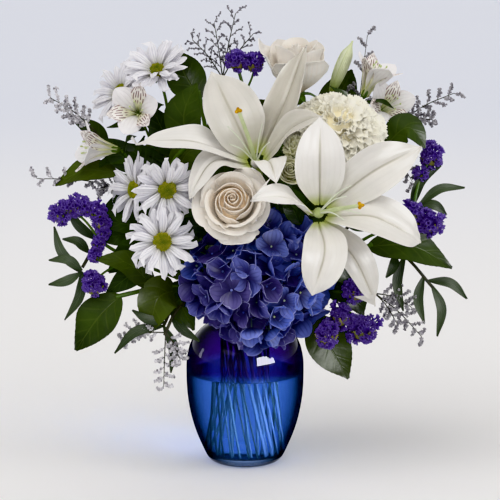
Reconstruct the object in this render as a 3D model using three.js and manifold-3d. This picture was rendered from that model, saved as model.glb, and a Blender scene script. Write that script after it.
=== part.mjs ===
// A one-sided bouquet in a blue glass vase, in millimetres. +Z is up, the front of the bouquet looks
// along -Y, and the origin is the middle of the flat underside of the vase.
import * as THREE from "three";
import { mergeVertices } from "three/addons/utils/BufferGeometryUtils.js";
import Module from "manifold-3d";

const wasm = await Module();
wasm.setup();

// --- Driving dimensions ---------------------------------------------------------------------------

const GAP = 0.4; // between pieces that touch in the real bouquet

const VASE_WALL = 3.4;
const VASE_FLOOR = 8;
const VASE_OUTSIDE = [ // radius and height, from the foot to the lip
  [27, 0], [31.5, 3], [38.2, 16], [43, 28], [47, 42], [50, 60], [50.8, 78], [50.3, 92],
  [46.5, 106], [39, 116], [32, 122], [30, 128], [31, 134], [37, 142],
];
const VASE_SIDES = 24;
const WATER_LEVEL = 80;
const WATER_CLEARANCE = 0.7;

// Stems lean on three rings of places, all turned the same way round, so that none crosses another.
const STEM_FOOT_HEIGHT = 9.5;
const NECK_HEIGHT = 128;
const LIP_HEIGHT = 145;
const STEM_TURN = THREE.MathUtils.degToRad(60);
const FREE_SECTOR_END = THREE.MathUtils.degToRad(70); // the mouth is free of stems before this angle
const STEM_SECTOR = THREE.MathUtils.degToRad(310);
const RINGS = {
  outer: { foot: 26, neck: 22, lip: 27, places: 20 },
  middle: { foot: 18, neck: 14, lip: 16, places: 7 },
  inner: { foot: 9, neck: 6, lip: 7, places: 3 },
};
const THICK_STEM = 2.4;
const STEM = 1.9;
const THIN_STEM = 1.4;
const TWIG = 0.9;
const LILY_BRANCH = 1.8;
const HYDRANGEA_BRANCH = 1.6;
const DAISY_BRANCH = 1.3;
const LEAF_BRANCH = 1.2;
const TUFT_BRANCH = 1.1;
const HEEL = 5; // radius of the green swelling behind a rose

const HYDRANGEA = { centre: [11, -56, 173], radii: [61, 50, 57], depth: 15 };
const HYDRANGEA_BRANCHES = 7;
const HYDRANGEA_NODE = [2, -42, 162]; // where its stem divides
const HYDRANGEA_SPREAD = { across: 34, up: 30, forward: 14 }; // from the head's centre to a branch's tip
const HYDRANGEA_OPENING = [[0, -14], [110, 34], [110, 90], [0, 90]]; // a cone turned about +Y

const ROSE_FRONT = { base: [-10, -80, 233], aim: [0, -0.9, 0.44], radius: 31, height: 40 };
const ROSE_BACK = { base: [45, -8, 322], aim: [-0.06, -0.2, 0.97], radius: 25.5, height: 47 };
const CARNATION = { centre: [74, -52, 293], radii: [43, 34, 34] };
const SMALL_CARNATION = { centre: [41, -82, 284], radii: [10, 9, 12] };
const ROSEBUD = { base: [37, -74, 262], aim: [0, -0.93, 0.37], radius: 11, height: 22 };
const DAISY_RADIUS = 29;
const DAISY_DISC = 8;
const DAISIES = [
  { centre: [-72, -38, 342], aim: [-0.25, -0.45, 0.86] },
  { centre: [-64, -86, 252], aim: [0.3, -0.93, -0.2] },
  { centre: [-89, -58, 247], aim: [-0.8, -0.55, 0.2] },
  { centre: [-68, -90, 209], aim: [0.25, -0.96, 0.1] },
  { centre: [-103, -15, 322], aim: [-0.75, -0.35, 0.55] },
];
const ALSTROEMERIA_RADIUS = 21;
const ALSTROEMERIA_LENGTH = 34;
const ALSTROEMERIAS = [
  { base: [-88, -26, 306], aim: [-0.12, -0.96, 0.25] },
  { base: [-104, -34, 277], aim: [-0.96, -0.2, 0.14] },
  { base: [99, -14, 318], aim: [0.42, -0.12, 0.9] },
  { base: [113, 6, 303], aim: [0.32, -0.85, 0.4] },
];

// --- Solids -----------------------------------------------------------------------------------------

const at = (place) => new THREE.Vector3(...place);

function solidOf(geometry) {
  const plain = new THREE.BufferGeometry();
  plain.setAttribute("position", geometry.getAttribute("position"));
  if (geometry.index) plain.setIndex(geometry.index);
  const merged = mergeVertices(plain, 1e-4);
  return new wasm.Manifold(new wasm.Mesh({
    numProp: 3,
    vertProperties: new Float32Array(merged.getAttribute("position").array),
    triVerts: new Uint32Array(merged.index.array),
  }));
}

const joined = (solids) => solids.reduce((whole, solid) => whole.add(solid));

function largestBody(solid) {
  return solid.decompose().reduce((a, b) => (a.volume() > b.volume() ? a : b));
}

// Turns a geometry that grows along +Y so that it grows from base along aim.
function aimed(geometry, base, aim) {
  const turn = new THREE.Quaternion().setFromUnitVectors(at([0, 1, 0]), at(aim).normalize());
  return geometry.applyQuaternion(turn).translate(...base);
}

// Every shape below takes how far it is swollen, so that a neighbour can be cut clear of it.
const tube = (points, radius, { steps = 12, sides = 5 } = {}) => (swell) => {
  const route = points.map(at);
  const last = route.length - 1;
  const stretch = (end, next) => end.clone().sub(next).setLength(swell).add(end);
  if (swell) {
    const ends = [stretch(route[0], route[1]), stretch(route[last], route[last - 1])];
    [route[0], route[last]] = ends;
  }
  const section = new THREE.Shape().absarc(0, 0, radius + swell, 0, 2 * Math.PI);
  return solidOf(new THREE.ExtrudeGeometry(section, {
    steps, curveSegments: sides / 2, bevelEnabled: false,
    extrudePath: new THREE.CatmullRomCurve3(route, false, "centripetal"),
  }));
};

const globe = (centre, radius) => ball(centre, [radius, radius, radius], { around: 8, rows: 6 });
const ball = (centre, radii, { around = 10, rows = 7 } = {}) => (swell) => {
  const geometry = new THREE.SphereGeometry(1, around, rows);
  geometry.scale(...radii.map((radius) => radius + swell)).translate(...centre);
  return solidOf(geometry);
};

// Moves each point of a profile outwards along the mean normal of its two edges.
function swollenProfile(profile, swell) {
  return profile.map(([r, h], i) => {
    const before = profile[Math.max(i - 1, 0)];
    const after = profile[Math.min(i + 1, profile.length - 1)];
    const normal = new THREE.Vector2(after[1] - before[1], before[0] - after[0]).setLength(swell);
    return r === 0 ? [0, h + Math.sign(normal.y || h) * swell] : [r + normal.x, h + normal.y];
  });
}

const turned = (profile, base, aim, sides = 16) => (swell) => {
  const points = swollenProfile(profile, swell).map(([r, h]) => new THREE.Vector2(r, h));
  return solidOf(aimed(new THREE.LatheGeometry(points, sides), base, aim));
};

// A petal or a leaf: a flat spindle bent along its midrib, with its margins lifted by cup.
const blade = (rib, { face, width, cup = 0, fullest = 0.5, thick = 0.8, rows = 6 }) => (swell) => {
  const curve = new THREE.CatmullRomCurve3(rib.map(at), false, "centripetal");
  const skew = Math.log(0.5) / Math.log(fullest);
  const geometry = new THREE.SphereGeometry(1, 6, rows);
  const point = geometry.getAttribute("position");
  for (let i = 0; i < point.count; i++) {
    const along = Math.acos(THREE.MathUtils.clamp(-point.getY(i), -1, 1)) / Math.PI;
    const ring = Math.hypot(point.getX(i), point.getZ(i));
    const across = ring > 1e-6 ? point.getX(i) / ring : 0;
    const through = ring > 1e-6 ? point.getZ(i) / ring : 0;
    const fullness = Math.sin(Math.PI * along ** skew) ** 0.8 || 0;
    const tangent = curve.getTangentAt(along);
    const side = tangent.clone().cross(at(face)).normalize();
    const up = side.clone().cross(tangent).normalize();
    const offset = ring > 1e-6 ? across * (width * fullness + swell) : 0;
    const rise = ring > 1e-6 ? through * (thick * fullness ** 0.5 + 0.15 + swell) : 0;
    const place = curve.getPointAt(along)
      .addScaledVector(side, offset)
      .addScaledVector(up, rise + (cup * offset * offset) / width)
      .addScaledVector(tangent, ring > 1e-6 ? 0 : (along < 0.5 ? -swell : swell));
    point.setXYZ(i, place.x, place.y, place.z);
  }
  return solidOf(geometry);
};

const together = (...shapes) => (swell) => joined(shapes.map((shape) => shape(swell)));

// --- The bouquet's group, where each new piece is cut clear of the pieces already there -----------

const bouquet = new THREE.Group();
const swollenPieces = [];

function place(name, shape, { colour, roughness = 0.6, opacity = 1 }) {
  let solid = shape(0);
  for (const neighbour of swollenPieces) solid = solid.subtract(neighbour);
  solid = largestBody(solid);
  swollenPieces.push(shape(GAP));
  const cut = solid.getMesh();
  const geometry = new THREE.BufferGeometry();
  geometry.setAttribute("position", new THREE.BufferAttribute(cut.vertProperties, 3));
  geometry.setIndex(new THREE.BufferAttribute(cut.triVerts, 1));
  geometry.computeVertexNormals();
  const material = new THREE.MeshStandardMaterial({
    color: colour, roughness, metalness: 0, transparent: opacity < 1, opacity,
  });
  const mesh = new THREE.Mesh(geometry, material);
  mesh.name = name;
  bouquet.add(mesh);
}

const LOOKS = {
  glass: { colour: 0x1540b8, roughness: 0.05, opacity: 0.5 },
  water: { colour: 0x3a7ad8, roughness: 0.05, opacity: 0.4 },
  stem: { colour: 0x5a7a32 },
  leaf: { colour: 0x3c5a1e, roughness: 0.45 },
  greyLeaf: { colour: 0x66795e, roughness: 0.7 },
  twig: { colour: 0x8c86a6, roughness: 0.8 },
  hydrangea: { colour: 0x3c44b0 },
  lily: { colour: 0xf1eef0, roughness: 0.5 },
  lilyCentre: { colour: 0xc9d27a },
  rose: { colour: 0xf2e9da },
  carnation: { colour: 0xf4efda },
  daisy: { colour: 0xf3eff4 },
  statice: { colour: 0x4e2fb0, roughness: 0.8 },
};

// --- Vase ---------------------------------------------------------------------------------------------

// The inside follows the outside one wall further in, and starts at the top of the floor.
function vaseInside() {
  const within = VASE_OUTSIDE.slice(2).map(([r, h]) => [r - VASE_WALL, h]);
  const [first] = within;
  return [[0, VASE_FLOOR], [first[0] - 7, VASE_FLOOR], [first[0] - 2, VASE_FLOOR + 3], ...within];
}

function makeVase() {
  const wall = [[0, 0], ...VASE_OUTSIDE, ...vaseInside().reverse()];
  place("vase", turned(wall, [0, 0, 0], [0, 0, 1], VASE_SIDES), LOOKS.glass);
}

function makeWater() {
  const below = vaseInside().filter(([, h]) => h < WATER_LEVEL);
  const rim = below[below.length - 1][0];
  const shrunk = swollenProfile([...below, [rim, WATER_LEVEL], [0, WATER_LEVEL]], -WATER_CLEARANCE);
  place("water", turned(shrunk, [0, 0, 0], [0, 0, 1], VASE_SIDES), LOOKS.water);
}

// --- Stems --------------------------------------------------------------------------------------------

// A route from the vase's floor through the neck, and on through the places given.
function stemRoute(ring, index, ...beyond) {
  const { foot, neck, lip, places } = RINGS[ring];
  const angle = FREE_SECTOR_END + ((index + 0.5) / places) * STEM_SECTOR;
  const on = (radius, turn, height) => at([radius * Math.cos(turn), radius * Math.sin(turn), height]);
  const low = on(foot, angle + STEM_TURN, STEM_FOOT_HEIGHT);
  const high = on(neck, angle, NECK_HEIGHT);
  const straight = [0, 0.33, 0.67, 1].map((share) => low.clone().lerp(high, share).toArray());
  return [...straight, on(lip, angle, LIP_HEIGHT).toArray(), ...beyond];
}

const STEM_STEPS = 11;
const stem = (ring, index, radius, ...beyond) =>
  tube(stemRoute(ring, index, ...beyond), radius, { steps: STEM_STEPS, sides: radius > STEM ? 6 : 4 });
const branch = (radius, ...points) => tube(points, radius, { steps: 4, sides: 4 });

// --- Hydrangea ----------------------------------------------------------------------------------------

// The florets stand as one thick dome that is open towards the stem.
function makeHydrangea() {
  const { centre, radii, depth } = HYDRANGEA;
  const { across, up, forward } = HYDRANGEA_SPREAD;
  const rays = [];
  for (let i = 0; i < HYDRANGEA_BRANCHES; i++) {
    const turn = (2 * Math.PI * i) / HYDRANGEA_BRANCHES;
    const tip = [across * Math.cos(turn), -forward, up * Math.sin(turn)].map((d, k) => centre[k] + d);
    rays.push(branch(HYDRANGEA_BRANCH, HYDRANGEA_NODE, tip));
  }
  place("hydrangea_stem", together(
    stem("outer", 12, THICK_STEM, HYDRANGEA_NODE), ...rays), LOOKS.stem);
  const dome = (swell) => {
    const outside = ball(centre, radii, { around: 18, rows: 12 })(swell);
    const hollow = radii.map((radius) => radius - depth);
    const inside = ball(centre, hollow, { around: 12, rows: 8 })(-swell);
    const opening = turned(HYDRANGEA_OPENING, centre, [0, 1, 0], 12)(0);
    return outside.subtract(inside).subtract(opening);
  };
  place("hydrangea_head", dome, LOOKS.hydrangea);
}

// --- Lilies -------------------------------------------------------------------------------------------

const LILY_THROAT = 5;
const LILY_STYLE = 1.3;
const LILY_STIGMA = 2.6;
const LILY_FILAMENT = 0.8;
const LILY_FORK = [36, -32, 214];
const LILY_BUD_BASE = [73, -6, 322];
const LILY_BUD_AIM = [0.38, 0.1, 0.92];
const LILY_BUD = [[0, 0], [3, 1], [5.5, 10], [6.2, 22], [4, 36], [0, 46]]; // radius and height
const petal = (rib, face, width, cup) => ({ rib, face, width, cup });
const LILY_LEFT = {
  name: "lily_left", base: [13, -52, 258], throat: [9, -66, 270],
  style: [[9, -66, 270], [4, -80, 290], [-5, -98, 317]],
  filaments: [[-14, -94, 304], [14, -98, 306], [-12, -100, 290], [20, -102, 292]],
  petals: [
    petal([[6, -62, 276], [-8, -74, 308], [-27, -62, 346]], [0.3, -0.9, 0.1], 24, 0.25),
    petal([[2, -66, 272], [-42, -88, 292], [-90, -74, 289]], [0, -0.5, 0.86], 17, 0.2),
    petal([[13, -60, 277], [32, -64, 320], [50, -50, 367]], [-0.5, -0.86, 0.1], 14, 0.35),
    petal([[16, -66, 272], [38, -84, 302], [61, -98, 314]], [-0.4, -0.6, 0.7], 13, 0.3),
    petal([[4, -70, 268], [-26, -92, 276], [-46, -100, 246]], [-0.2, -0.6, 0.75], 13, 0.1),
    petal([[13, -72, 267], [20, -100, 277], [25, -124, 264]], [-0.1, -0.2, 0.97], 14, 0.1),
  ],
};
const LILY_RIGHT = {
  name: "lily_right", base: [55, -77, 230], throat: [60, -92, 233],
  style: [[60, -92, 233], [74, -118, 240], [91, -150, 248]],
  filaments: [[84, -138, 262], [80, -142, 254], [92, -142, 240], [78, -146, 236]],
  petals: [
    petal([[61, -94, 240], [60, -118, 282], [60, -112, 314]], [0, -0.95, -0.2], 18, 0.3),
    petal([[66, -94, 238], [104, -122, 272], [142, -112, 290]], [0.2, -0.93, 0.3], 19, 0.25),
    petal([[67, -96, 231], [104, -128, 236], [143, -118, 214]], [0.1, -0.75, 0.65], 19, 0.2),
    petal([[60, -98, 226], [64, -130, 208], [54, -136, 173]], [0.1, -0.95, 0.3], 17, 0.2),
    petal([[64, -92, 226], [90, -112, 198], [108, -102, 157]], [0.4, -0.85, 0.3], 14, 0.2),
    petal([[54, -96, 234], [30, -124, 252], [5, -132, 251]], [-0.1, -0.6, 0.8], 14, 0.2),
  ],
};

function makeLily({ name, base, throat, style, filaments, petals }) {
  const centre = together(
    globe(throat, LILY_THROAT),
    branch(LILY_BRANCH, base, throat),
    tube(style, LILY_STYLE, { steps: 5 }),
    globe(style[2], LILY_STIGMA),
    ...filaments.map((anther) => branch(LILY_FILAMENT, throat, anther)),
  );
  place(name + "_centre", centre, LOOKS.lilyCentre);
  petals.forEach(({ rib, ...shape }, i) => {
    place(name + "_petal_" + (i + 1), blade(rib, { ...shape, fullest: 0.55 }), LOOKS.lily);
  });
}

function makeLilies() {
  place("lily_stem", together(
    stem("middle", 4, THICK_STEM, [14, -24, 168], LILY_FORK),
    branch(LILY_BRANCH, LILY_FORK, [20, -44, 242], [14, -51, 256]),
    branch(LILY_BRANCH, LILY_FORK, [42, -44, 229], [50, -62, 231], [55, -75, 230]),
    branch(LILY_BRANCH, LILY_FORK, [46, -12, 256], [62, 0, 296], LILY_BUD_BASE),
  ), LOOKS.stem);
  const foot = heel({ base: LILY_BUD_BASE, aim: LILY_BUD_AIM }, -1);
  place("lily_bud", turned(LILY_BUD, foot, LILY_BUD_AIM, 10), LOOKS.lilyCentre);
  makeLily(LILY_LEFT);
  makeLily(LILY_RIGHT);
}

// --- Roses and carnations -----------------------------------------------------------------------------

function roseHead({ base, aim, radius, height }) {
  const profile = [
    [0, 0], [0.3 * radius, 0.02 * height], [0.78 * radius, 0.22 * height], [radius, 0.5 * height],
    [0.96 * radius, 0.72 * height], [0.62 * radius, 0.95 * height], [0.3 * radius, height],
    [0, 0.9 * height],
  ];
  return turned(profile, base, aim);
}

const heel = ({ base, aim }, back) => at(aim).setLength(-back).add(at(base)).toArray();

function makeRoses() {
  place("rose_front_stem", together(
    stem("outer", 11, THICK_STEM, [-12, -30, 204], [-12, -44, 236], heel(ROSE_FRONT, 0.5)),
    globe(heel(ROSE_FRONT, HEEL), HEEL),
  ), LOOKS.stem);
  place("rose_front_head", roseHead(ROSE_FRONT), LOOKS.rose);
  place("rose_back_stem", together(
    stem("inner", 0, THICK_STEM, [2, 4, 180], [30, 0, 270], heel(ROSE_BACK, 0.5)),
    globe(heel(ROSE_BACK, HEEL), HEEL),
  ), LOOKS.stem);
  place("rose_back_head", roseHead(ROSE_BACK), LOOKS.rose);
  place("rosebud", together(
    stem("inner", 1, STEM, [10, -16, 200], [26, -34, 244], [33, -56, 257], heel(ROSEBUD, -2)),
    roseHead(ROSEBUD),
  ), LOOKS.carnation);
}

function makeCarnations() {
  const { centre, radii } = CARNATION;
  const under = [centre[0] - 6, centre[1] + 18, centre[2] - radii[2] + 4];
  place("carnation_stem", together(
    stem("middle", 5, STEM, [20, -14, 170], [52, -20, 236], under),
    ball(under, [6, 6, 10], { around: 8, rows: 6 }),
  ), LOOKS.stem);
  const small = SMALL_CARNATION;
  place("small_carnation", together(
    stem("middle", 3, STEM, [-4, -15, 176], [12, -22, 230], [34, -52, 270], small.centre),
    ball(small.centre, small.radii),
  ), LOOKS.carnation);
  place("carnation_head", ball(centre, radii, { around: 16, rows: 10 }), LOOKS.carnation);
}

// --- Daisies ------------------------------------------------------------------------------------------

const DAISY_FORK = [-56, -34, 206];

function makeDaisies() {
  const backs = DAISIES.map(({ centre, aim }) => heel({ base: centre, aim }, 4));
  const ways = [
    [[-60, -26, 268], [-66, -28, 318]], [[-58, -48, 226]], [[-72, -44, 226]], [[-60, -56, 206]],
    [[-66, -22, 268], [-88, -12, 304]],
  ];
  place("daisy_stem", together(
    stem("middle", 2, STEM, [-18, -10, 150], DAISY_FORK),
    ...backs.map((back, i) => branch(DAISY_BRANCH, DAISY_FORK, ...ways[i], back)),
  ), LOOKS.stem);
  const profile = [
    [0, -4], [4, -4], [DAISY_DISC, -1.5], [DAISY_RADIUS, 4.5], [DAISY_RADIUS, 7], [DAISY_DISC, 2.5],
    [5, 5], [0, 6],
  ];
  DAISIES.forEach(({ centre, aim }, i) => {
    place("daisy_head_" + (i + 1), turned(profile, centre, aim, 14), LOOKS.daisy);
  });
}

// --- Alstroemerias ------------------------------------------------------------------------------------

function makeAlstroemerias() {
  const [first, second, third, fourth] = ALSTROEMERIAS.map((flower) => heel(flower, 0.5));
  const leftFork = [-62, -14, 232];
  place("alstroemeria_stem_left", together(
    stem("middle", 1, STEM, [-16, 4, 150], leftFork),
    branch(LEAF_BRANCH, leftFork, [-78, -16, 278], first),
    branch(LEAF_BRANCH, leftFork, [-88, -26, 258], second),
  ), LOOKS.stem);
  const rightFork = [74, -2, 250];
  place("alstroemeria_stem_right", together(
    stem("middle", 6, STEM, [22, 0, 150], rightFork),
    branch(LEAF_BRANCH, rightFork, [86, -8, 290], third),
    branch(LEAF_BRANCH, rightFork, [96, 2, 284], fourth),
  ), LOOKS.stem);
  const profile = [
    [0, 0], [3, 1], [5, 8], [9, 20], [ALSTROEMERIA_RADIUS, ALSTROEMERIA_LENGTH - 3],
    [ALSTROEMERIA_RADIUS, ALSTROEMERIA_LENGTH], [7, 24], [0, 12],
  ];
  ALSTROEMERIAS.forEach(({ base, aim }, i) => {
    place("alstroemeria_flower_" + (i + 1), turned(profile, base, aim, 12), LOOKS.daisy);
  });
}

// --- Statice ------------------------------------------------------------------------------------------

const tuft = (x, y, z, radius) => ball([x, y, z], [radius, radius, radius], { around: 7, rows: 5 });

function makeStatice() {
  place("statice_top", together(
    stem("middle", 0, THIN_STEM, [-2, 8, 180], [2, -6, 300], [-2, -14, 330], [-7, -15, 347]),
    branch(TUFT_BRANCH, [0, -12, 322], [6, -15, 336], [8, -15, 344]),
    tuft(-7, -15, 350, 8), tuft(8, -15, 348, 8),
  ), LOOKS.statice);
  place("statice_left", together(
    stem("outer", 7, THIN_STEM, [-42, -16, 158], [-92, -42, 184], [-122, -53, 206], [-123, -52, 224]),
    branch(TUFT_BRANCH, [-122, -53, 206], [-138, -52, 224], [-155, -52, 226]),
    branch(TUFT_BRANCH, [-92, -42, 184], [-112, -54, 180], [-126, -57, 170]),
    tuft(-123, -52, 226, 8), tuft(-120, -53, 207, 8), tuft(-137, -52, 230, 9), tuft(-154, -52, 226, 8),
    tuft(-126, -57, 184, 8), tuft(-126, -57, 168, 11),
  ), LOOKS.statice);
  place("statice_right", together(
    stem("outer", 17, THIN_STEM, [46, -8, 162], [104, -28, 202], [138, -38, 222], [146, -30, 248],
      [157, -22, 270]),
    branch(TUFT_BRANCH, [124, -36, 212], [138, -44, 220], [154, -42, 218]),
    tuft(157, -22, 270, 9), tuft(149, -26, 256, 6), tuft(138, -44, 226, 9), tuft(154, -43, 217, 10),
  ), LOOKS.statice);
  place("statice_low", together(
    stem("outer", 13, THIN_STEM, [32, -34, 155], [66, -40, 157], [92, -60, 162]),
    branch(TUFT_BRANCH, [66, -40, 157], [80, -53, 148], [84, -66, 138]),
    branch(TUFT_BRANCH, [80, -53, 148], [92, -60, 140], [99, -62, 131]),
    tuft(92, -61, 164, 10), tuft(80, -65, 142, 9), tuft(99, -62, 130, 11), tuft(68, -75, 129, 10),
    branch(TUFT_BRANCH, [80, -65, 142], [74, -70, 136], [69, -74, 131]),
  ), LOOKS.statice);
}

// --- Limonium -----------------------------------------------------------------------------------------

const spray = (start, ...tips) => tips.map((tip) => {
  const bend = at(start).lerp(at(tip), 0.5).add(at([0, 0, 3])).toArray();
  return tube([start, bend, tip], TWIG, { steps: 3, sides: 4 });
});

function makeLimonium() {
  place("limonium_top", together(
    stem("outer", 2, THIN_STEM, [-16, 26, 180], [-18, 6, 300], [-19, 2, 334]),
    ...spray([-19, 2, 334], [-8, 5, 388], [-44, 0, 366], [7, 5, 371], [-26, 4, 380]),
  ), LOOKS.twig);
  place("limonium_left", together(
    stem("outer", 4, THIN_STEM, [-34, 14, 166], [-84, -10, 220], [-112, -22, 262], [-126, -24, 292]),
    ...spray([-126, -24, 292], [-163, -20, 319], [-148, -22, 306]),
    ...spray([-100, -19, 242], [-124, -34, 244], [-174, -35, 253]),
  ), LOOKS.twig);
  place("limonium_right", together(
    stem("outer", 19, THIN_STEM, [40, 14, 166], [76, 20, 236], [106, 20, 270], [130, 0, 295]),
    ...spray([130, 0, 295], [176, -10, 322], [158, -12, 300]),
    ...spray([92, 21, 253], [86, 12, 320], [104, 10, 369]),
    ...spray([118, 12, 283], [141, -26, 249]),
  ), LOOKS.twig);
  place("limonium_low_left", together(
    stem("outer", 10, THIN_STEM, [-36, -38, 154], [-56, -56, 146], [-67, -68, 126]),
    ...spray([-66, -67, 128], [-68, -66, 82], [-100, -60, 120], [-54, -70, 106]),
  ), LOOKS.twig);
  place("limonium_low_right", together(
    stem("outer", 14, THIN_STEM, [36, -27, 162], [80, -43, 172], [109, -50, 158]),
    ...spray([109, -50, 158], [149, -46, 120], [128, -50, 132], [140, -50, 146]),
  ), LOOKS.twig);
}

// --- Leafy branches -----------------------------------------------------------------------------------

const SALAL = { width: 15, cup: 0.15, fullest: 0.42, rows: 7 };
const salalLeaf = (rib, face, width = SALAL.width) => blade(rib, { ...SALAL, face, width });

function makeSalal() {
  place("salal_left_high", together(
    stem("outer", 5, STEM, [-38, 4, 164], [-62, -34, 240], [-60, -44, 268], [-46, -50, 284]),
    salalLeaf([[-48, -50, 282], [-50, -52, 310], [-40, -46, 334]], [-0.4, -0.9, 0.1], 17),
    salalLeaf([[-58, -38, 252], [-46, -52, 278], [-18, -52, 280]], [-0.1, -0.8, 0.6], 13),
    branch(LEAF_BRANCH, [-60, -30, 232], [-84, -30, 250], [-110, -32, 258]),
    salalLeaf([[-106, -32, 257], [-134, -36, 260], [-160, -30, 247]], [0.1, -0.6, 0.8], 13),
    branch(LEAF_BRANCH, [-84, -30, 250], [-104, -14, 268], [-120, -12, 283]),
    salalLeaf([[-116, -12, 280], [-130, -12, 292], [-144, -14, 299]], [-0.4, -0.8, 0.4], 8),
  ), LOOKS.leaf);
  place("salal_left_low", together(
    stem("outer", 8, STEM, [-40, -24, 157], [-72, -46, 162], [-108, -55, 156]),
    salalLeaf([[-104, -55, 157], [-122, -62, 140], [-142, -60, 111]], [-0.3, -0.9, 0.35], 18),
    salalLeaf([[-76, -47, 162], [-98, -62, 186], [-124, -62, 190]], [0.1, -0.8, 0.6], 12),
    salalLeaf([[-56, -37, 158], [-72, -60, 156], [-80, -62, 126]], [-0.1, -0.95, 0.3], 17),
  ), LOOKS.leaf);
  place("salal_right_high", together(
    stem("inner", 2, STEM, [16, -6, 170], [78, -14, 244], [106, -28, 268], [120, -38, 284]),
    salalLeaf([[117, -36, 281], [136, -42, 297], [151, -42, 280]], [0.2, -0.7, 0.7], 14),
  ), LOOKS.leaf);
  place("salal_right_low", together(
    stem("outer", 15, STEM, [40, -20, 162], [78, -40, 184], [106, -52, 200]),
    salalLeaf([[102, -50, 198], [138, -60, 200], [174, -50, 180]], [0.1, -0.7, 0.7], 17),
    branch(LEAF_BRANCH, [38, -19, 160], [50, -34, 144], [60, -45, 136]),
    salalLeaf([[58, -42, 138], [72, -52, 112], [88, -52, 85]], [0.2, -0.95, 0.2], 19),
    salalLeaf([[66, -34, 175], [82, -50, 184], [94, -54, 166]], [0.2, -0.95, 0.1], 14),
  ), LOOKS.leaf);
  place("salal_back_left", together(
    stem("outer", 1, STEM, [-8, 34, 164], [-24, 44, 220], [-34, 38, 284], [-40, 30, 320]),
    salalLeaf([[-39, 32, 312], [-52, 34, 334], [-60, 22, 356]], [-0.3, 0.9, 0.2], 17),
    salalLeaf([[-34, 38, 284], [-4, 48, 296], [20, 36, 312]], [0.1, 0.9, 0.3], 17),
    salalLeaf([[-30, 41, 258], [-62, 50, 272], [-90, 34, 270]], [-0.3, 0.9, 0.3], 18),
    salalLeaf([[-24, 44, 220], [-58, 56, 224], [-88, 44, 206]], [-0.3, 0.85, 0.45], 18),
    salalLeaf([[-16, 40, 190], [-42, 58, 178], [-62, 56, 150]], [-0.3, 0.85, 0.4], 17),
  ), LOOKS.leaf);
  place("salal_back_right", together(
    stem("outer", 0, STEM, [10, 36, 164], [32, 46, 216], [52, 38, 272], [66, 28, 304]),
    salalLeaf([[64, 30, 298], [82, 32, 318], [92, 20, 340]], [0.3, 0.9, 0.2], 15),
    salalLeaf([[46, 41, 256], [20, 56, 262], [-6, 54, 252]], [0, 0.95, 0.3], 17),
    salalLeaf([[50, 39, 266], [84, 46, 270], [108, 30, 256]], [0.3, 0.9, 0.3], 17),
    salalLeaf([[32, 46, 216], [68, 58, 216], [98, 44, 200]], [0.3, 0.85, 0.45], 18),
    salalLeaf([[22, 42, 190], [10, 62, 204], [-12, 66, 190]], [0, 0.9, 0.45], 16),
    salalLeaf([[18, 40, 182], [44, 60, 170], [62, 56, 142]], [0.3, 0.85, 0.4], 17),
  ), LOOKS.leaf);
}

const eucalyptusLeaf = (from, to, face = [0, -0.9, 0.4], width = 5) => {
  const bend = at(from).lerp(at(to), 0.5).add(at([0, -3, 2])).toArray();
  return blade([from, bend, to], { face, width, rows: 5, thick: 0.6 });
};

function makeEucalyptus() {
  place("eucalyptus_left", together(
    stem("outer", 6, THIN_STEM, [-42, -3, 160], [-84, -18, 198], [-118, -38, 206], [-136, -50, 180]),
    eucalyptusLeaf([-137, -53, 176], [-159, -52, 215]), eucalyptusLeaf([-124, -41, 202], [-148, -42, 231]),
    eucalyptusLeaf([-131, -46, 192], [-152, -52, 204]), eucalyptusLeaf([-136, -53, 178], [-163, -57, 187]),
    eucalyptusLeaf([-137, -53, 176], [-164, -58, 167]), eucalyptusLeaf([-136, -53, 177], [-150, -59, 137]),
  ), LOOKS.greyLeaf);
  place("eucalyptus_low_left", together(
    stem("outer", 9, THIN_STEM, [-38, -32, 154], [-58, -48, 149], [-68, -60, 132]),
    eucalyptusLeaf([-67, -60, 135], [-94, -64, 146]), eucalyptusLeaf([-68, -60, 132], [-62, -64, 93]),
    eucalyptusLeaf([-62, -52, 143], [-38, -60, 119]), eucalyptusLeaf([-68, -60, 132], [-109, -66, 110]),
  ), LOOKS.greyLeaf);
  place("eucalyptus_right", together(
    stem("outer", 18, THIN_STEM, [46, 2, 166], [100, -14, 216], [126, -24, 222], [148, -30, 231]),
    eucalyptusLeaf([140, -28, 226], [165, -28, 263]), eucalyptusLeaf([147, -30, 230], [185, -28, 244]),
    eucalyptusLeaf([147, -30, 229], [170, -34, 222]),
  ), LOOKS.greyLeaf);
  place("eucalyptus_low_right", together(
    stem("outer", 16, THIN_STEM, [44, -12, 162], [84, -28, 190], [116, -42, 197], [133, -48, 190],
      [158, -46, 162]),
    eucalyptusLeaf([154, -46, 168], [187, -44, 152]), eucalyptusLeaf([150, -47, 172], [151, -50, 132]),
    eucalyptusLeaf([157, -46, 164], [162, -48, 121]), eucalyptusLeaf([126, -46, 190], [118, -54, 172]),
    eucalyptusLeaf([134, -48, 190], [133, -52, 143]),
  ), LOOKS.greyLeaf);
}

makeVase();
makeHydrangea();
makeRoses();
makeCarnations();
makeLilies();
makeDaisies();
makeAlstroemerias();
makeStatice();
makeEucalyptus();
makeSalal();
makeLimonium();
makeWater();

export default bouquet;
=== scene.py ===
"""Looks of a one-sided bouquet in a blue glass vase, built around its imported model.

Tables are in millimetres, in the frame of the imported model: +Z is up and the front looks along -Y.
"""
import math
import random

import bmesh
import bpy
from bpy.props import FloatProperty, FloatVectorProperty, IntProperty, PointerProperty
from mathutils import Matrix, Vector, noise


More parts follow.
